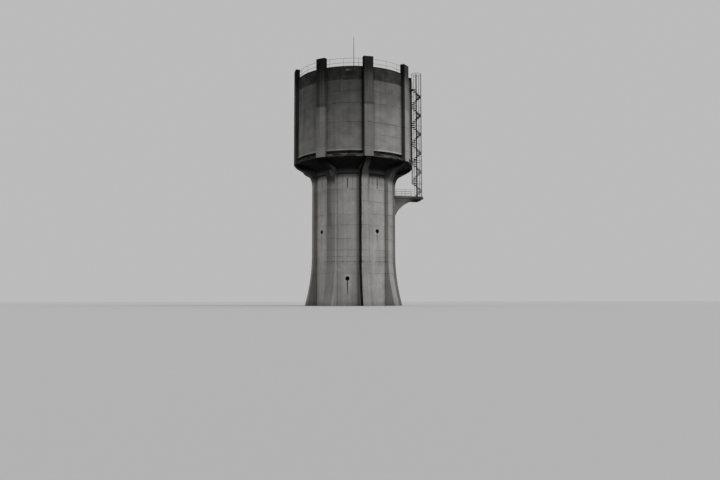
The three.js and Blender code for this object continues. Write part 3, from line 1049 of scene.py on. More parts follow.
@dataclass(frozen=True)
class PlatformConcrete(Concrete):
    """Platform and bracket: darker edges, blackened towards the round end, most along its lower edge, and
    painted light on the bracket just under the slab.
    """

    def stains_and_shade(self, board: Survey) -> Value:
        """Maps the stains and the painted light.

        Args:
            board: The finish's tree.

        Returns:
            The share of light that they leave.
        """
        ragged = (board.noise(47, 2.0, 2.0) - 0.5) * 0.5
        reach = (board.x + ragged).rise(7.3, 8.9) * (0.5 + board.z.rise(15.3, 14.9) * 0.45)
        edge = board.z.between(15.15, 15.4, 0.01)
        # Painted light on the bracket just under the slab, against the shade there.
        pale = board.z.between(14.9, 15.14, 0.12)
        return faded({reach: 1.0, edge: 0.3, pale: -0.45})


@dataclass(frozen=True)
class RoofConcrete(Concrete):
    """Roof: dark seams between its cast fields, and damp along the rim."""

    rings: Row = (2.6, 5.2)
    edge: float = 7.5

    def stains_and_shade(self, board: Survey) -> Value:
        """Maps the seams and the damp.

        Args:
            board: The finish's tree.

        Returns:
            The share of light that they leave.
        """
        seams = [line.near(0.0, 0.012, 0.03) for line in (board.off_rib, board.off_panel)]
        seams += [board.radius.near(ring, 0.012, 0.03) for ring in self.rings]
        ragged = board.noise(41, 1.5, 1.5) * 0.5
        damp = (board.radius + ragged).rise(self.edge - 0.5, self.edge + 0.4)
        return faded({**dict.fromkeys(seams, 0.5), damp: 0.4})


@dataclass(frozen=True)
class Steel:
    """Weathered steel, matt, with rust at random places."""

    name: str
    tone: float
    rust: float = 0.38

    def build(self) -> Material:
        """Makes the material.

        Returns:
            The finished material.
        """
        board = Board(self.name)
        patch = board.noise(2, 3.0, 3.0)
        rust = board.noise(5, 6.0, 2.5, 5.0).rise(1 - self.rust, 1.06 - self.rust)
        bare = board.grey(self.tone * (1 + (patch - 0.5) * 0.6), (1.0, 0.99, 0.97))
        rusty = (0.5 * self.tone + 0.03, 0.3 * self.tone + 0.018, 0.2 * self.tone + 0.011, 1)
        return board.close(
            {
                "Base Color": board.mix(rust, bare, rusty),
                "Roughness": 0.5 + patch * 0.15 + rust * 0.25,
                "Metallic": 0.3 - rust * 0.3,
                "Normal": board.bump(board.noise(6, 60.0, 60.0, 3.0), 0.15, 0.002),
            }
        )


# Sub-assemblies


@dataclass
class Shaft:
    """Ribbed round shaft: wall segments with round windows, and the ribs between them."""

    radius: float = 5.35
    wall: float = 0.3
    top: float = 17.56 - GAP
    lifts: Row = (4.29, 5.87, 6.5, 7.37, 8.9, 10.69, 12.19, 13.84, 15.5)
    main_lift: float = 5.87
    steps: int = 24
    window: float = 0.24
    collar_outline: Line = ((-0.01, -0.12), (0.05, -0.12), (0.05, 0.012), (0.04, 0.022), (-0.01, 0.022))
    collar_sink: float = 0.008
    slit: Triple = (0.1, 15.65, 17.0)
    slit_depth: float = 0.1
    rib_radius: float = 5.8
    rib_root: float = 5.26
    foot_spread: float = 0.98
    foot_height: float = 7.0
    rib_bend: Line = ((5.8, 16.2), (5.8, 17.72), (6.6, 18.14))
    rib_head: Line = ((7.9, 18.83), (8.05, 18.92), (8.4, 19.37))
    rib_top: float = 19.39 - GAP
    neck_overlap: Pair = (0.07, 0.03)
    upper_door: Triple = (0.86, 15.42, 17.32)
    ground_door: Triple = (1.0, 0.25, 2.35)
    ground_door_wall: int = 1
    lining_thick: float = 0.018
    lining_depth: float = 0.07
    lining_set_back: float = 0.09
    lining_bolts: Row = (0.25, 0.7, 1.15, 1.6)
    bolt_head: float = 0.008

    def door(self, door: Triple, reach: float, degrees: float) -> Bench:
        """Blocks out a doorway through the wall.

        Args:
            door: Its width, foot and head.
            reach: Radius that the block ends at.
            degrees: Its angle on the tower.

        Returns:
            The block.
        """
        width, low, high = door
        inside = self.radius - 2 * self.wall
        return Bench.block("doorway", (inside, -width / 2, low), (reach, width / 2, high)).turn(degrees)

    def lining(self, door: Triple, face: float, degrees: float) -> Bench:
        """Models the steel lining of a doorway, set back from the face of the wall, with its fixing bolts.

        Args:
            door: The doorway's width, foot and head.
            face: Radius of the wall's face.
            degrees: The doorway's angle on the tower.

        Returns:
            The lining.
        """
        width, low, high = door
        half, back = width / 2, face - self.lining_set_back
        clear = half - self.lining_thick
        lining = Bench.block("lining", (back - self.lining_depth, -half, low + GAP), (back, half, high))
        corner, opposite = (back - 0.1, -clear, low - 0.1), (back + 0.1, clear, high - self.lining_thick)
        lining.carve(Bench.block("hollow", corner, opposite))
        lining.soften(0.003, 1)
        pieces = [lining]
        x = back - self.lining_depth / 2
        for side in (-1, 1):
            for z in (low + rise for rise in self.lining_bolts):
                start, end = (x, side * clear, z), (x, side * (clear - self.bolt_head), z)
                pieces.append(Bench.rod("bolt", start, end, BOLT, 6))
        return gather(pieces, "lining").turn(degrees)

    def segment(self, window: float) -> Bench:
        """Models one wall segment with its lift grooves, its window and the slit above.

        Args:
            window: Height of the window's middle.

        Returns:
            The segment that starts at +X.
        """
        outside = [(self.radius, 0.0), *grooved(self.radius, self.lifts), (self.radius, self.top)]
        inner = self.radius - self.wall
        segment = Bench.trace("segment", [(inner, 0.0), *outside, (inner, self.top)])
        segment.spin(self.steps, STEP)
        middle = STEP / 2
        near, far = (polar(self.radius + shift, middle, window) for shift in (-2 * self.wall, self.wall))
        segment.carve(Bench.rod("hole", near, far, self.window, 32))
        width, low, high = self.slit
        back, front = self.radius - self.slit_depth, self.radius + self.slit_depth
        segment.carve(Bench.block("slit", (back, -width / 2, low), (front, width / 2, high)).turn(middle))
        return segment

    def rib(self) -> Bench:
        """Models a rib: its foot spreads and its head leans out to the ring.

        Returns:
            The rib on +X.
        """
        shares = [1 - i / 16 for i in range(17)]
        outside = [(self.rib_radius + self.foot_spread * s * s, self.foot_height * (1 - s)) for s in shares]
        outside += [self.rib_bend[0], *bend(*self.rib_bend, 12), self.rib_head[0], *bend(*self.rib_head, 6)]
        back, up = self.neck_overlap
        inside = [(r - back, z + up) for r, z in reversed(bend(*Neck().curve, 8))]
        inside += [(self.rib_root, self.top), (self.rib_root, 0.0)]
        rib = Bench.trace("rib", [*outside, (self.rib_head[-1][0], self.rib_top), *inside], -RIB_HALF)
        rib.pull((0, 2 * RIB_HALF, 0))
        rib.soften(EDGE)
        rib.groove(self.lifts)
        return rib

    def collar(self) -> Bench:
        """Models the cement collar of a round window.

        Returns:
            The collar, standing on the origin.
        """
        collar = Bench.trace("collar", [(self.window + out, z) for out, z in self.collar_outline])
        collar.spin(32)
        return collar

    def build(self, finishes: Mapping[str, Material]) -> None:
        """Builds the walls, the ribs, the window collars and the door linings.

        Args:
            finishes: The materials by name.
        """
        segments = [self.segment(height) for height in WINDOWS]
        rib, collar = self.rib(), self.collar()
        collars = []
        for i in range(RIBS):
            middle = STEP * (i + 0.5)
            piece = segments[i % 2].copy(turned(STEP * i), f"shaft_segment_{i + 1}")
            if i in (0, RIBS - 1):
                piece.carve(self.door(self.upper_door, self.radius + self.wall, 0))
            if i == self.ground_door_wall:
                piece.carve(self.door(self.ground_door, self.radius + self.wall, middle))
            piece.finish(finishes["shaft"], Slot.SHAFT, f"shaft_wall_{i + 1}")
            lean = rib.copy(turned(STEP * i), f"shaft_rib_body_{i + 1}")
            if i == 0:
                lean.carve(self.door(self.upper_door, self.rib_radius + 2 * self.wall, 0))
            lean.finish(finishes["ribs"], Slot.SHAFT, f"shaft_rib_{i + 1}")
            place = polar(self.radius - self.collar_sink, middle, WINDOWS[i % 2])
            collars.append(collar.copy(aimed(place, polar(1, middle))))
        for spare in (*segments, rib, collar):
            spare.scrap()
        gather(collars, "window_collars").finish(finishes["collars"], Slot.STEEL)
        upper = self.lining(self.upper_door, self.rib_radius, 0)
        ground = self.lining(self.ground_door, self.radius, STEP * (self.ground_door_wall + 0.5))
        gather([upper, ground], "door_linings").finish(finishes["steel"], Slot.STEEL)


@dataclass
class Neck:
    """Flared neck between the shaft and the ring beam."""

    curve: Line = ((5.39, 17.56), (5.5, 18.9), (8.1, 19.33))
    rim: Pair = (8.1, 19.37 - GAP)
    inner: Line = ((7.3, 19.37 - GAP), (6.6, 19.3), (5.9, 19.12), (5.4, 18.75), (5.15, 18.35), (5.15, 18.0))
    bore: float = 4.85
    steps: int = 192

    def build(self, material: Material) -> None:
        """Builds the neck from one spun section.

        Args:
            material: Its finish.
        """
        outside = [self.curve[0], *bend(*self.curve, 20), self.rim]
        inside = [*self.inner, (self.bore, self.inner[-1][1])]
        neck = Bench.trace("neck", [(self.bore, self.curve[0][1]), *outside, *inside])
        neck.spin(self.steps)
        neck.finish(material, Slot.NECK, "neck_shell")


@dataclass
class Tank:
    """Round tank: ring beam, wall segments above a groove, buttresses and domed roof."""

    radius: float = 7.98
    wall: float = 0.35
    bottom: float = 20.16
    top: float = 31.39
    rebate: Pair = (7.8, 31.1)
    lifts: Row = (22.33, 23.94, 26.46, 28.06, 29.57)
    main_lift: float = 26.46
    lip: Pair = (0.018, 0.2)
    ring: tuple[float, float, float, float] = (7.35, 8.18, 19.37, 19.75)
    groove: Pair = (7.75, 19.77)
    buttress: Pair = (8.4, 7.81)
    buttress_root: float = 7.93
    buttress_ends: Pair = (19.39, 32.64)
    buttress_joints: Row = (20.73, 23.94, 26.46, 29.57)
    roof_edge: float = 0.2
    roof_ease: float = 0.015
    roof_rise: float = 0.9
    roof_shell: float = 0.18
    roof_flat: float = 7.5
    steps: int = 24

    def segment(self) -> Bench:
        """Models one wall segment with its projecting lip, its lift grooves and the roof's rebate.

        Returns:
            The segment that starts at +X.
        """
        out, high = self.lip
        r, low, top = self.radius, self.bottom, self.top
        inner = r - self.wall
        outside = [(r + out - EDGE, low), (r + out, low + EDGE), (r + out, low + high), (r, low + high + out)]
        outside += [*grooved(r, self.lifts), (r, top - EDGE), (r - EDGE, top)]
        rebate = [(self.rebate[0], top), self.rebate, (inner, self.rebate[1])]
        segment = Bench.trace("segment", [(inner, low), *outside, *rebate])
        segment.spin(self.steps, STEP)
        return segment

    def beam(self) -> Bench:
        """Models the ring beam with its eased edges and the groove above it.

        Returns:
            The beam.
        """
        inner, r, low, high = self.ring
        top = self.bottom - GAP
        outline = [(inner, low), (r - EDGE, low), (r, low + EDGE), (r, high - EDGE), (r - EDGE, high)]
        outline += [self.groove, (self.groove[0], top), (inner, top)]
        beam = Bench.trace("tank_ring", outline)
        beam.spin(self.steps * RIBS)
        return beam

    def stand(self) -> Bench:
        """Models a buttress, whose head rests on the rim.

        Returns:
            The buttress on +X.
        """
        (outer, head), (low, high) = self.buttress, self.buttress_ends
        root, rim = self.buttress_root, self.top + GAP
        outline = [(root, low), (outer, low), (outer, high), (head, high), (head, rim), (root, rim)]
        stand = Bench.trace("stand", outline, -RIB_HALF)
        stand.pull((0, 2 * RIB_HALF, 0))
        stand.soften(EDGE)
        stand.groove(self.buttress_joints)
        return stand

    def roof(self) -> Bench:
        """Models the shallow domed roof with a flat edge.

        Returns:
            The roof.
        """
        low, edge, ease = self.rebate[1] + GAP, self.rebate[0] - GAP, self.roof_ease
        high = low + self.roof_edge
        shares = [i / 12 for i in range(12, -1, -1)]
        top = [(self.roof_flat * share, high + self.roof_rise * (1 - share * share)) for share in shares]
        under = [(r, z - self.roof_shell) for r, z in reversed(top)]
        rim = [(self.roof_flat, low), (edge, low), (edge, high - ease), (edge - ease, high)]
        roof = Bench.trace("tank_roof", [*under, *rim, *top], filled=False)
        roof.spin(self.steps * RIBS // 2)
        return roof

    def build(self, finishes: Mapping[str, Material]) -> None:
        """Builds every part of the tank.

        Args:
            finishes: The materials by name.
        """
        segment, stand = self.segment(), self.stand()
        for i in range(RIBS):
            piece = segment.copy(turned(STEP * i), f"tank_segment_{i + 1}")
            piece.finish(finishes["wall"], Slot.TANK, f"tank_wall_{i + 1}")
            piece = stand.copy(turned(STEP * i), f"tank_buttress_{i + 1}")
            piece.finish(finishes["buttress"], Slot.TANK, f"buttress_{i + 1}")
        segment.scrap()
        stand.scrap()
        self.beam().finish(finishes["ring"], Slot.NECK, "ring_beam")
        self.roof().finish(finishes["roof"], Slot.TANK, "roof")


@dataclass
class RoofRailing:
    """Tube railing on posts round the roof's edge, open where the landing crosses the rim."""

    radius: float = 7.7
    foot: float = 31.3 + 2 * GAP
    heights: Pair = (0.62, 1.22)
    posts: int = 24
    end_share: float = 0.03
    gate: Pair = (4.8, 11.0)
    plate: Pair = (0.08, 0.014)
    bolt: Pair = (0.055, 0.032)

    def sweep(self) -> float:
        """Returns the angle that the railing takes up."""
        return 360 - self.gate[1] + self.gate[0]

    def rail(self, height: float) -> Bench:
        """Spins a disc round the roof into a rail.

        Args:
            height: Height of the rail's top above its foot.

        Returns:
            The rail.
        """
        start = self.gate[1]
        centre = polar(self.radius, start, self.foot + height - TUBE)
        rail = Bench.disc("rail", centre, polar(1, start + 90), TUBE)
        rail.spin(180, self.sweep())
        return rail

    def post(self) -> Bench:
        """Models a post with its foot plate and four bolts.

        Returns:
            The post, on the tower's axis.
        """
        half, thick = self.plate
        foot, top = self.foot + 2 * GAP, self.foot + self.heights[-1]
        plate = Bench.block("plate", (-half, -half, foot), (half, half, foot + thick))
        plate.soften(0.004, 1)
        pieces = [plate, Bench.rod("stem", (0, 0, foot + 0.01), (0, 0, top), TUBE * 0.75)]
        shift, height = self.bolt
        for x in (-shift, shift):
            for y in (-shift, shift):
                pieces.append(Bench.rod("bolt", (x, y, foot + 0.01), (x, y, foot + height), BOLT, 6))
        return gather(pieces, "post")

    def build(self, steel: Material) -> None:
        """Builds the railing.

        Args:
            steel: Its finish.
        """
        bay = self.sweep() / (self.posts + 2 * self.end_share)
        angles = [self.gate[1] + bay * (i + self.end_share) for i in range(self.posts + 1)]
        out = Matrix.Translation((self.radius, 0, 0))
        posts = self.post().spread(turned(angle) @ out for angle in angles)
        rails = [self.rail(height) for height in self.heights]
        gather([*rails, *posts], "roof_rails").finish(steel, Slot.STEEL, "roof_railing")


@dataclass
class LightningRod:
    """Tapered mast on a bolted foot at the roof's crown; its outlines run from its foot and from its tip."""

    foot: float = 32.2 + 2 * GAP
    top: float = 38.27
    base: Line = (
        (0.0, 0.0), (0.22, 0.0), (0.22, 0.02), (0.09, 0.024), (0.085, 0.12), (0.06, 0.16), (0.056, 0.5),
        (0.044, 0.54), (0.038, 2.6), (0.036, 2.64),
    )
    tip: Line = ((0.034, -1.2), (0.028, -1.17), (0.024, -0.12), (0.0, 0.0))
    fin: Triple = (0.07, 0.2, 0.006)
    fin_height: float = 0.3
    fin_slope: float = 0.12
    bolt: Triple = (0.17, 0.03, 0.016)

    def build(self, steel: Material) -> None:
        """Builds the mast from one spun profile, gusset plates and bolts.

        Args:
            steel: Its finish.
        """
        profile = [(r, self.foot + z) for r, z in self.base] + [(r, self.top + z) for r, z in self.tip]
        mast = Bench.trace("mast", profile, filled=False)
        mast.spin(16)
        near, far, half = self.fin
        low, high = self.foot + self.base[2][1], self.foot + self.fin_height
        fin = Bench.block("fin", (near, -half, low), (far, half, high))
        fin.pick(Part.EDGES, lambda p, n: p.x > far - 0.01 and p.z > high - 0.01)
        fin.bevel(self.fin_slope)
        x, height, radius = self.bolt
        bolt = Bench.rod("bolt", (x, 0, low), (x, 0, low + height), radius, 6)
        fins = fin.spread(turned(90 * i) for i in range(4))
        bolts = bolt.spread(turned(90 * i + 45) for i in range(4))
        gather([mast, *fins, *bolts], "mast").finish(steel, Slot.STEEL, "lightning_rod")


@dataclass
class SpiralStair:
    """Steel spiral stair round a centre column, in a cage of upright bars."""

    x: float = 9.28
    foot: float = 15.42 + GAP
    column: float = 0.084
    tread_radius: float = 0.69
    tread_half: float = 16.6
    tread_hub: Pair = (0.07, 0.03)
    tread_rim: float = 0.08
    tread_press: Row = (-0.03, 0.04)
    slats: int = 7
    first_slat: float = 0.16
    slat_step: float = 0.075
    slat: Triple = (0.006, -0.034, -0.002)
    clamp: Triple = (0.022, -0.09, 0.11)
    column_drop: float = 0.105
    riser: float = (31.2 - 15.42) / 69
    first_tread: float = 15.42
    start: float = -142.3
    turn: float = 30.0
    treads: int = 68
    flights: int = 4
    cage_radius: float = 0.725
    bar: float = 0.022
    bars: int = 12
    cage_top: float = 33.43
    entry: float = 17.35
    tie: Triple = (8.28, 20.62, 0.38)
    tie_angle: float = 60.0
    tie_plate: Triple = (0.08, 0.012, 0.1)
    tie_lug: Triple = (0.04, 0.07, 0.04)
    landing_under: float = 31.14
    handrail_treads: tuple[int, int] = (5, 62)
    handrail_height: float = 0.95

    def tread_height(self, k: int) -> float:
        """Returns the top of tread k."""
        return self.first_tread + k * self.riser

    def tread(self) -> Bench:
        """Models a tread: a tapered pan with a turned-down rim, a nosing and bars across it.

        Returns:
            The tread, at the origin.
        """
        near, side = self.tread_hub
        rim = [polar(self.tread_radius, self.tread_half * (i - 2) / 2) for i in range(5)]
        pan = Bench.trace("pan", [(near, -side, 0), *rim, (near, side, 0)])
        pan.pull((0, 0, -self.tread_rim))
        for way, depth in zip((1, -1), self.tread_press):
            pan.press(lambda p, n, way=way: n.z * way > 0.9, 0.01, depth)
        pieces = [pan]
        half, low, high = self.slat
        for i in range(self.slats):
            x = self.first_slat + self.slat_step * i
            width = x * math.tan(math.radians(self.tread_half)) - 2 * half
            pieces.append(Bench.block("slat", (x - half, -width, low), (x + half, width, high)))
        return gather(pieces, "tread")

    def collar(self) -> Bench:
        """Models a collar of the column, where a tread is clamped.

        Returns:
            The collar, at the origin.
        """
        thick, low, height = self.clamp
        ring = Bench.disc("collar", (0, 0, low), (0, 0, 1), self.column + thick, 14)
        ring.pull((0, 0, height))
        ring.soften(0.008, 1)
        return ring

    def flight(self, index: int, tread: Bench, collar: Bench) -> Bench:
        """Places the treads of one flight on its stretch of the column.

        Args:
            index: Which flight, from the foot.
            tread: The modelled tread, at the origin.
            collar: The modelled collar, at the origin.

        Returns:
            The flight.
        """
        first = round(self.treads * index / self.flights) + 1
        last = round(self.treads * (index + 1) / self.flights)
        low, high = (self.tread_height(k) - self.column_drop for k in (first, last + 1))
        low = self.foot if index == 0 else low
        high = self.cage_top if index == self.flights - 1 else high - GAP
        pieces = [Bench.rod("column", (self.x, 0, low), (self.x, 0, high), self.column, 16)]
        for k in range(first, last + 1):
            step = Matrix.Translation((self.x, 0, self.tread_height(k))) @ turned(self.start + self.turn * k)
            pieces += [tread.copy(step), collar.copy(step)]
        return gather(pieces, f"stair_treads_{index + 1}")

    def cage(self) -> Bench:
        """Models the upright bars, the hoops, the winding handrail and the ties.

        Returns:
            The cage.
        """
        pieces = []
        for z in (self.cage_top - self.bar, self.tie[1], self.entry):
            hoop = Bench.disc("hoop", (self.x + self.cage_radius, 0, z), (0, 1, 0), self.bar)
            hoop.spin(36, 359.99, (self.x, 0, 0))
            pieces.append(hoop)
        for i in range(self.bars):
            x, y, _ = polar(self.cage_radius, self.start + 360 / self.bars * i)
            inward = x < -0.3 * self.cage_radius
            low = self.entry if inward else self.foot
            high = self.landing_under if inward and y > 0 else self.cage_top - self.bar
            pieces.append(Bench.rod("bar", (self.x + x, y, low), (self.x + x, y, high), self.bar * 0.9))
        return gather([*pieces, self.handrail(), *self.strut(-1), *self.strut(1)], "stair_guard")

    def handrail(self) -> Bench:
        """Winds a disc up the cage into the handrail.

        Returns:
            The handrail.
        """
        first, last = self.handrail_treads
        start, treads = self.start + self.turn * first, last - first
        rail = Bench.disc("handrail", polar(self.cage_radius, start), polar(1, start + 90), self.bar * 0.8, 6)
        rail.modify(
            "SCREW",
            axis="Z",
            angle=math.radians(self.turn * treads),
            screw_offset=treads * self.riser,
            steps=treads * 3,
            render_steps=treads * 3,
            use_merge_vertices=False,
        )
        rail.take()
        rail.obj.location = (self.x, 0, self.tread_height(first) + self.handrail_height)
        rail.settle()
        rail.face_out()
        return rail

    def strut(self, side: int) -> list[Bench]:
        """Models the strut from the cage's hoop to a lug on the first buttress.

        Args:
            side: Side of the buttress, 1 or -1.

        Returns:
            The plate, the lug and the strut.
        """
        x, hoop, rise = self.tie
        wall, z = RIB_HALF + GAP, hoop + rise
        pieces = []
        for half, out, high in (self.tie_plate, self.tie_lug):
            corner, opposite = (x - half, side * wall, z - high), (x + half, side * (wall + out), z + high)
            pieces.append(Bench.block("lug", corner, opposite))
        pieces[-1].soften(0.006, 1)
        end = polar(self.cage_radius, 180 - side * self.tie_angle, hoop) + Vector((self.x, 0, 0))
        return [*pieces, Bench.rod("strut", (x, side * (wall + 0.05), z), end, self.bar * 1.2)]

    def build(self, steel: Material) -> None:
        """Builds the flights and the cage.

        Args:
            steel: Their finish.
        """
        tread, collar = self.tread(), self.collar()
        for index in range(self.flights):
            self.flight(index, tread, collar).finish(steel, Slot.STEEL, f"stair_flight_{index + 1}")
        tread.scrap()
        collar.scrap()
        self.cage().finish(steel, Slot.STEEL, "stair_cage")


@dataclass
class Platform:
    """Bracketed concrete platform at the upper doorway, with railings along both long sides."""

    top: float = 15.42
    thick: float = 0.28
    root: float = 5.8 + GAP
    centre: float = 9.28
    half: float = 0.9
    ease: float = 0.018
    drip: Triple = (0.07, 0.02, 0.012)
    fin_half: float = 0.25
    fin_foot: float = 12.2
    fin_corner: Pair = (6.32, 13.96)
    fin_end: Pair = (8.2, 14.73)
    fin_tip: Line = ((9.35, 14.74), (9.72, 14.89), (10.0, 15.14 - GAP))
    inset: float = 0.84
    ends: Pair = (5.86, 8.675)
    heights: Triple = (0.38, 0.66, 0.95)
    plate: Triple = (0.055, 0.045, 0.012)
    bolt: Triple = (0.04, 0.028, 0.009)

    def slab(self) -> Bench:
        """Models the slab: a round end, eased edges and a drip groove below.

        Returns:
            The slab.
        """
        low = self.top - self.thick
        curve = [polar(self.half, -90 + 180 * i / 32, low) + Vector((self.centre, 0, 0)) for i in range(33)]
        back = [(self.root, side * self.half, low) for side in (-1, 1)]
        slab = Bench.trace("platform_deck", [back[0], *curve, back[1]])
        slab.pull((0, 0, self.thick))
        slab.soften(self.ease)
        edge, width, depth = self.drip
        slab.pick(Part.FACES, lambda p, n: n.z < -0.99)
        slab.inset(edge)
        slab.pick(Part.FACES, lambda p, n: n.z < -0.99 and abs(p.y) < 0.1)
        slab.inset(width)
        slab.pick(Part.FACES, lambda p, n: n.z < -0.99 and abs(p.y) < 0.1)
        slab.extrude((0, 0, depth))
        return slab

    def fin(self) -> Bench:
        """Models the bracket below the slab, whose lower edge sweeps out from the rib.

        Returns:
            The bracket.
        """
        foot = (self.root, self.fin_foot)
        sweep = bend(foot, self.fin_corner, self.fin_end, 16)
        outline = [foot, *sweep, *self.fin_tip, (self.root, self.fin_tip[-1][1])]
        fin = Bench.trace("platform_fin", outline, -self.fin_half)
        fin.pull((0, 2 * self.fin_half, 0))
        fin.soften(self.ease)
        return fin

    def railing(self, side: int, name: str) -> Bench:
        """Models one side's posts, foot plates and rails.

        Args:
            side: Side of the platform, 1 or -1.
            name: Name of the piece.

        Returns:
            The railing.
        """
        first, last = self.ends
        length, width, thick = self.plate
        shift, height, radius = self.bolt
        y, foot, top = side * self.inset, self.top + GAP, self.top + self.heights[-1]
        pieces = []
        for x in (first, (first + last) / 2, last):
            plate = Bench.block("plate", (x - length, y - width, foot), (x + length, y + width, foot + thick))
            plate.soften(0.003, 1)
            pieces += [plate, Bench.rod("post", (x, y, foot), (x, y, top), TUBE)]
            for place in (x - shift, x + shift):
                start, end = (place, y, foot + 0.01), (place, y, foot + height)
                pieces.append(Bench.rod("bolt", start, end, radius, 6))
        return gather([*pieces, *lay_rails([(first, y), (last, y)], self.top, self.heights)], name)

    def build(self, concrete: Material, steel: Material) -> None:
        """Builds the slab, the bracket and both railings.

        Args:
            concrete: Finish of the slab and the bracket.
            steel: Finish of the railings.
        """
        self.slab().finish(concrete, Slot.SHAFT, "platform_slab")
        self.fin().finish(concrete, Slot.SHAFT, "platform_bracket")
        self.railing(-1, "platform_rails_right").finish(steel, Slot.STEEL, "platform_railing_right")
        self.railing(1, "platform_rails_left").finish(steel, Slot.STEEL, "platform_railing_left")


@dataclass
class Landing:
    """Steel plate beside the stair's head that leads round the first buttress to the rim."""

    top: float = 31.2
    thick: float = 0.06
    outline: Line = (
        (8.4 + GAP, -0.065), (9.19, -0.065), (9.19, 0.6), (8.99, 0.7), (8.99, 1.5), (7.85, 1.5),
        (7.97, RIB_HALF + GAP), (8.4 + GAP, RIB_HALF + GAP),
    )
    sheet: float = 0.01
    stiffeners: tuple[tuple[float, float, float, float], ...] = (
        (8.296, 0.68, 8.304, 1.49), (8.616, 0.68, 8.624, 1.49),
        (8.41, 0.146, 9.18, 0.154), (8.41, 0.396, 9.18, 0.404),
    )
    corners: Line = ((8.94, 0.75), (8.94, 1.45), (8.03, 1.45))
    heights: Pair = (0.62, 1.22)
    plate: Pair = (0.045, 0.01)

    def deck(self) -> Bench:
        """Models the floor plate with its turned-down rim and the stiffeners under it.

        Returns:
            The plate.
        """
        low, high = self.top - self.thick, self.top - self.sheet / 2
        deck = Bench.trace("deck", [(x, y, low) for x, y in self.outline])
        deck.pull((0, 0, self.thick))
        deck.press(lambda p, n: n.z < -0.99, self.sheet, self.thick - self.sheet)
        pieces = [deck]
        for x, y, far_x, far_y in self.stiffeners:
            pieces.append(Bench.block("stiffener", (x, y, low), (far_x, far_y, high)))
        return gather(pieces, "landing_plate")

    def railing(self) -> Bench:
        """Models the railing round the landing's outer corner.

        Returns:
            The railing.
        """
        half, thick = self.plate
        foot, top = self.top + GAP, self.top + self.heights[-1]
        pieces = lay_rails(self.corners, self.top, self.heights)
        for x, y in self.corners:
            pieces.append(Bench.rod("post", (x, y, foot), (x, y, top), TUBE))
            pieces.append(Bench.block("foot", (x - half, y - half, foot), (x + half, y + half, foot + thick)))
        return gather(pieces, "landing_rails")

    def build(self, steel: Material) -> None:
        """Builds the plate and its railing."""
        self.deck().finish(steel, Slot.STEEL, "top_landing")
        self.railing().finish(steel, Slot.STEEL, "landing_railing")


# Stage


@dataclass
class Stage:
    """Plain pale floor, soft studio light and the camera at the photograph's angle."""

    eye: Triple = (-23.265, -98.741, 0.6)
    pitch: float = 94.8
    yaw: float = -13.737
    roll: float = 0.0922
    lens: float = 36.50
    floor_radius: float = 900.0
    floor_tone: float = 0.62
    sky_tone: float = 0.5
    key_power: float = 1.1
    key_spread: float = 40.0
    key_way: Pair = (-41.26, 0.75)

    def camera(self) -> None:
        """Places the camera."""
        data = bpy.data.cameras.new("eye")
        data.lens = self.lens
        data.sensor_width = 36.0
        data.clip_start, data.clip_end = 0.5, 2000.0
        camera = bpy.data.objects.new("eye", data)
        turn = Euler((math.radians(self.pitch), 0, math.radians(self.yaw)), "XYZ").to_matrix()
        camera.rotation_euler = (turn @ Matrix.Rotation(math.radians(-self.roll), 3, "Z")).to_euler()
        camera.location = self.eye
        bpy.context.scene.collection.objects.link(camera)
        bpy.context.scene.camera = camera

    def floor(self) -> None:
        """Lays the floor just under the tower."""
        floor = Bench.disc("floor", (0, 0, -0.012), (0, 0, 1), self.floor_radius, 96)
        floor.clear()
        tone = self.floor_tone
        paint(floor.obj, Board("floor_paint").close({"Base Color": (tone, tone, tone, 1), "Roughness": 0.9}))

    def light(self) -> None:
        """Adds a broad soft key from the photograph's right and an even sky."""
        world = bpy.data.worlds.new("sky")
        world.use_nodes = True
        sky = world.node_tree.nodes["Background"]
        sky.inputs["Color"].default_value = (self.sky_tone, self.sky_tone, self.sky_tone, 1)
        sky.inputs["Strength"].default_value = 1.0
        bpy.context.scene.world = world
        key = bpy.data.lights.new("key", "SUN")
        key.energy = self.key_power
        key.angle = math.radians(self.key_spread)
        lamp = bpy.data.objects.new("key", key)
        lamp.rotation_euler = polar(1.0, *self.key_way).to_track_quat("Z", "Y").to_euler()
        bpy.context.scene.collection.objects.link(lamp)

    def build(self) -> None:
        """Builds the whole stage."""
        self.camera()
        self.floor()
        self.light()
        bpy.context.scene.view_settings.view_transform = "Standard"


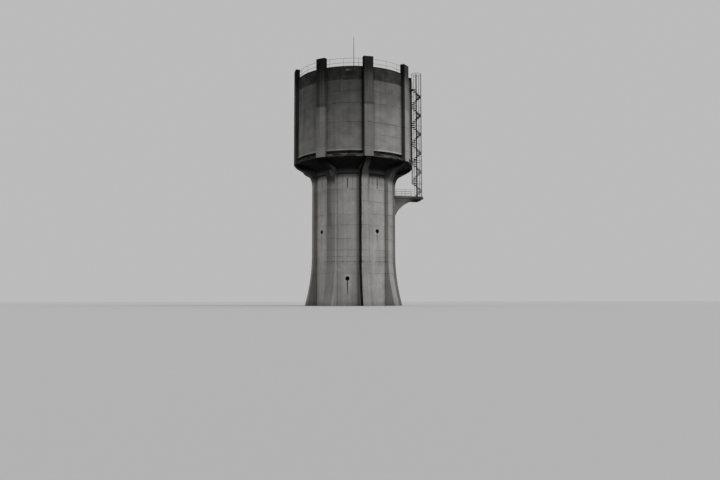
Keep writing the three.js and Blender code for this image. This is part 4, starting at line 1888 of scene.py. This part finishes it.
@dataclass(frozen=True)
class Finishes:
    """Every material of the tower, each made once."""

    # Base tones, member by member: the concrete's own tone with painted light and shade in it, paler where a
    # member faces the light and darker where it is in shade.
    shaft_tones: Row = (0.35, 0.36, 0.34, 0.36, 0.38, 0.36, 0.365, 0.36)
    rib_tones: Row = (0.3, 0.3, 0.34, 0.28, 0.27, 0.235, 0.35, 0.345)
    tank_tones: Row = (0.15, 0.12, 0.13, 0.12, 0.13, 0.115, 0.205, 0.16)
    ring_tones: Row = (0.08, 0.08, 0.08, 0.06, 0.035, 0.072, 0.072, 0.09)
    buttress_tones: Row = (0.055, 0.18, 0.17, 0.19, 0.08, 0.21, 0.21, 0.3)
    platform_tone: float = 0.175
    floor_tone: float = 0.25
    # Near-black tone of the neck: a painted shadow under the ring.
    neck_shadow_tone: float = 0.006
    roof_tone: float = 0.22

    def build(self) -> dict[str, Material]:
        """Makes the materials.

        Returns:
            The materials by name.
        """
        shaft, tank = Shaft(), Tank()
        low, high = (shaft.lifts, shaft.main_lift), (tank.lifts, tank.main_lift)
        joints = (tank.buttress_joints, tank.main_lift)
        finishes = {
            "shaft": ShaftConcrete("shaft_concrete", self.shaft_tones, *low),
            "ribs": RibConcrete("rib_concrete", self.rib_tones, *low, on_ribs=True),
            # Near-black collars: dark iron that also stands in for painted shade inside the window openings.
            "collars": Steel("window_iron_and_shade", 0.012),
            "platform": PlatformConcrete("platform_concrete", (self.platform_tone,) * RIBS),
            "floors": Concrete("floor_concrete", (self.floor_tone,) * RIBS),
            "neck": NeckConcrete("neck_concrete", (self.neck_shadow_tone,) * RIBS),
            "ring": RingConcrete("ring_concrete", self.ring_tones),
            "wall": TankConcrete("tank_concrete", self.tank_tones, *high, cloud=0.3, board_tone=0.04),
            "buttress": ButtressConcrete("buttress_concrete", self.buttress_tones, *joints, on_ribs=True),
            "roof": RoofConcrete("roof_concrete", (self.roof_tone,) * RIBS, cloud=0.35),
            "steel": Steel("stair_steel", 0.022),
            "zinc": Steel("rail_zinc", 0.3),
        }
        return {name: finish.build() for name, finish in finishes.items()}


def main() -> None:
    """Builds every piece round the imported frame."""
    logging.basicConfig(level=logging.INFO, format="%(name)s: %(message)s", stream=sys.stdout)
    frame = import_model()
    Stage().build()
    finishes = Finishes().build()
    steel, zinc = finishes["steel"], finishes["zinc"]
    for name in ("ground_floor", "upper_floor", "tank_floor"):
        paint(frame["nodes"][name], finishes["floors"])
    Shaft().build(finishes)
    Neck().build(finishes["neck"])
    Tank().build(finishes)
    Platform().build(finishes["platform"], zinc)
    SpiralStair().build(steel)
    Landing().build(steel)
    RoofRailing().build(zinc)
    LightningRod().build(steel)


if __name__ == "__main__":
    main()
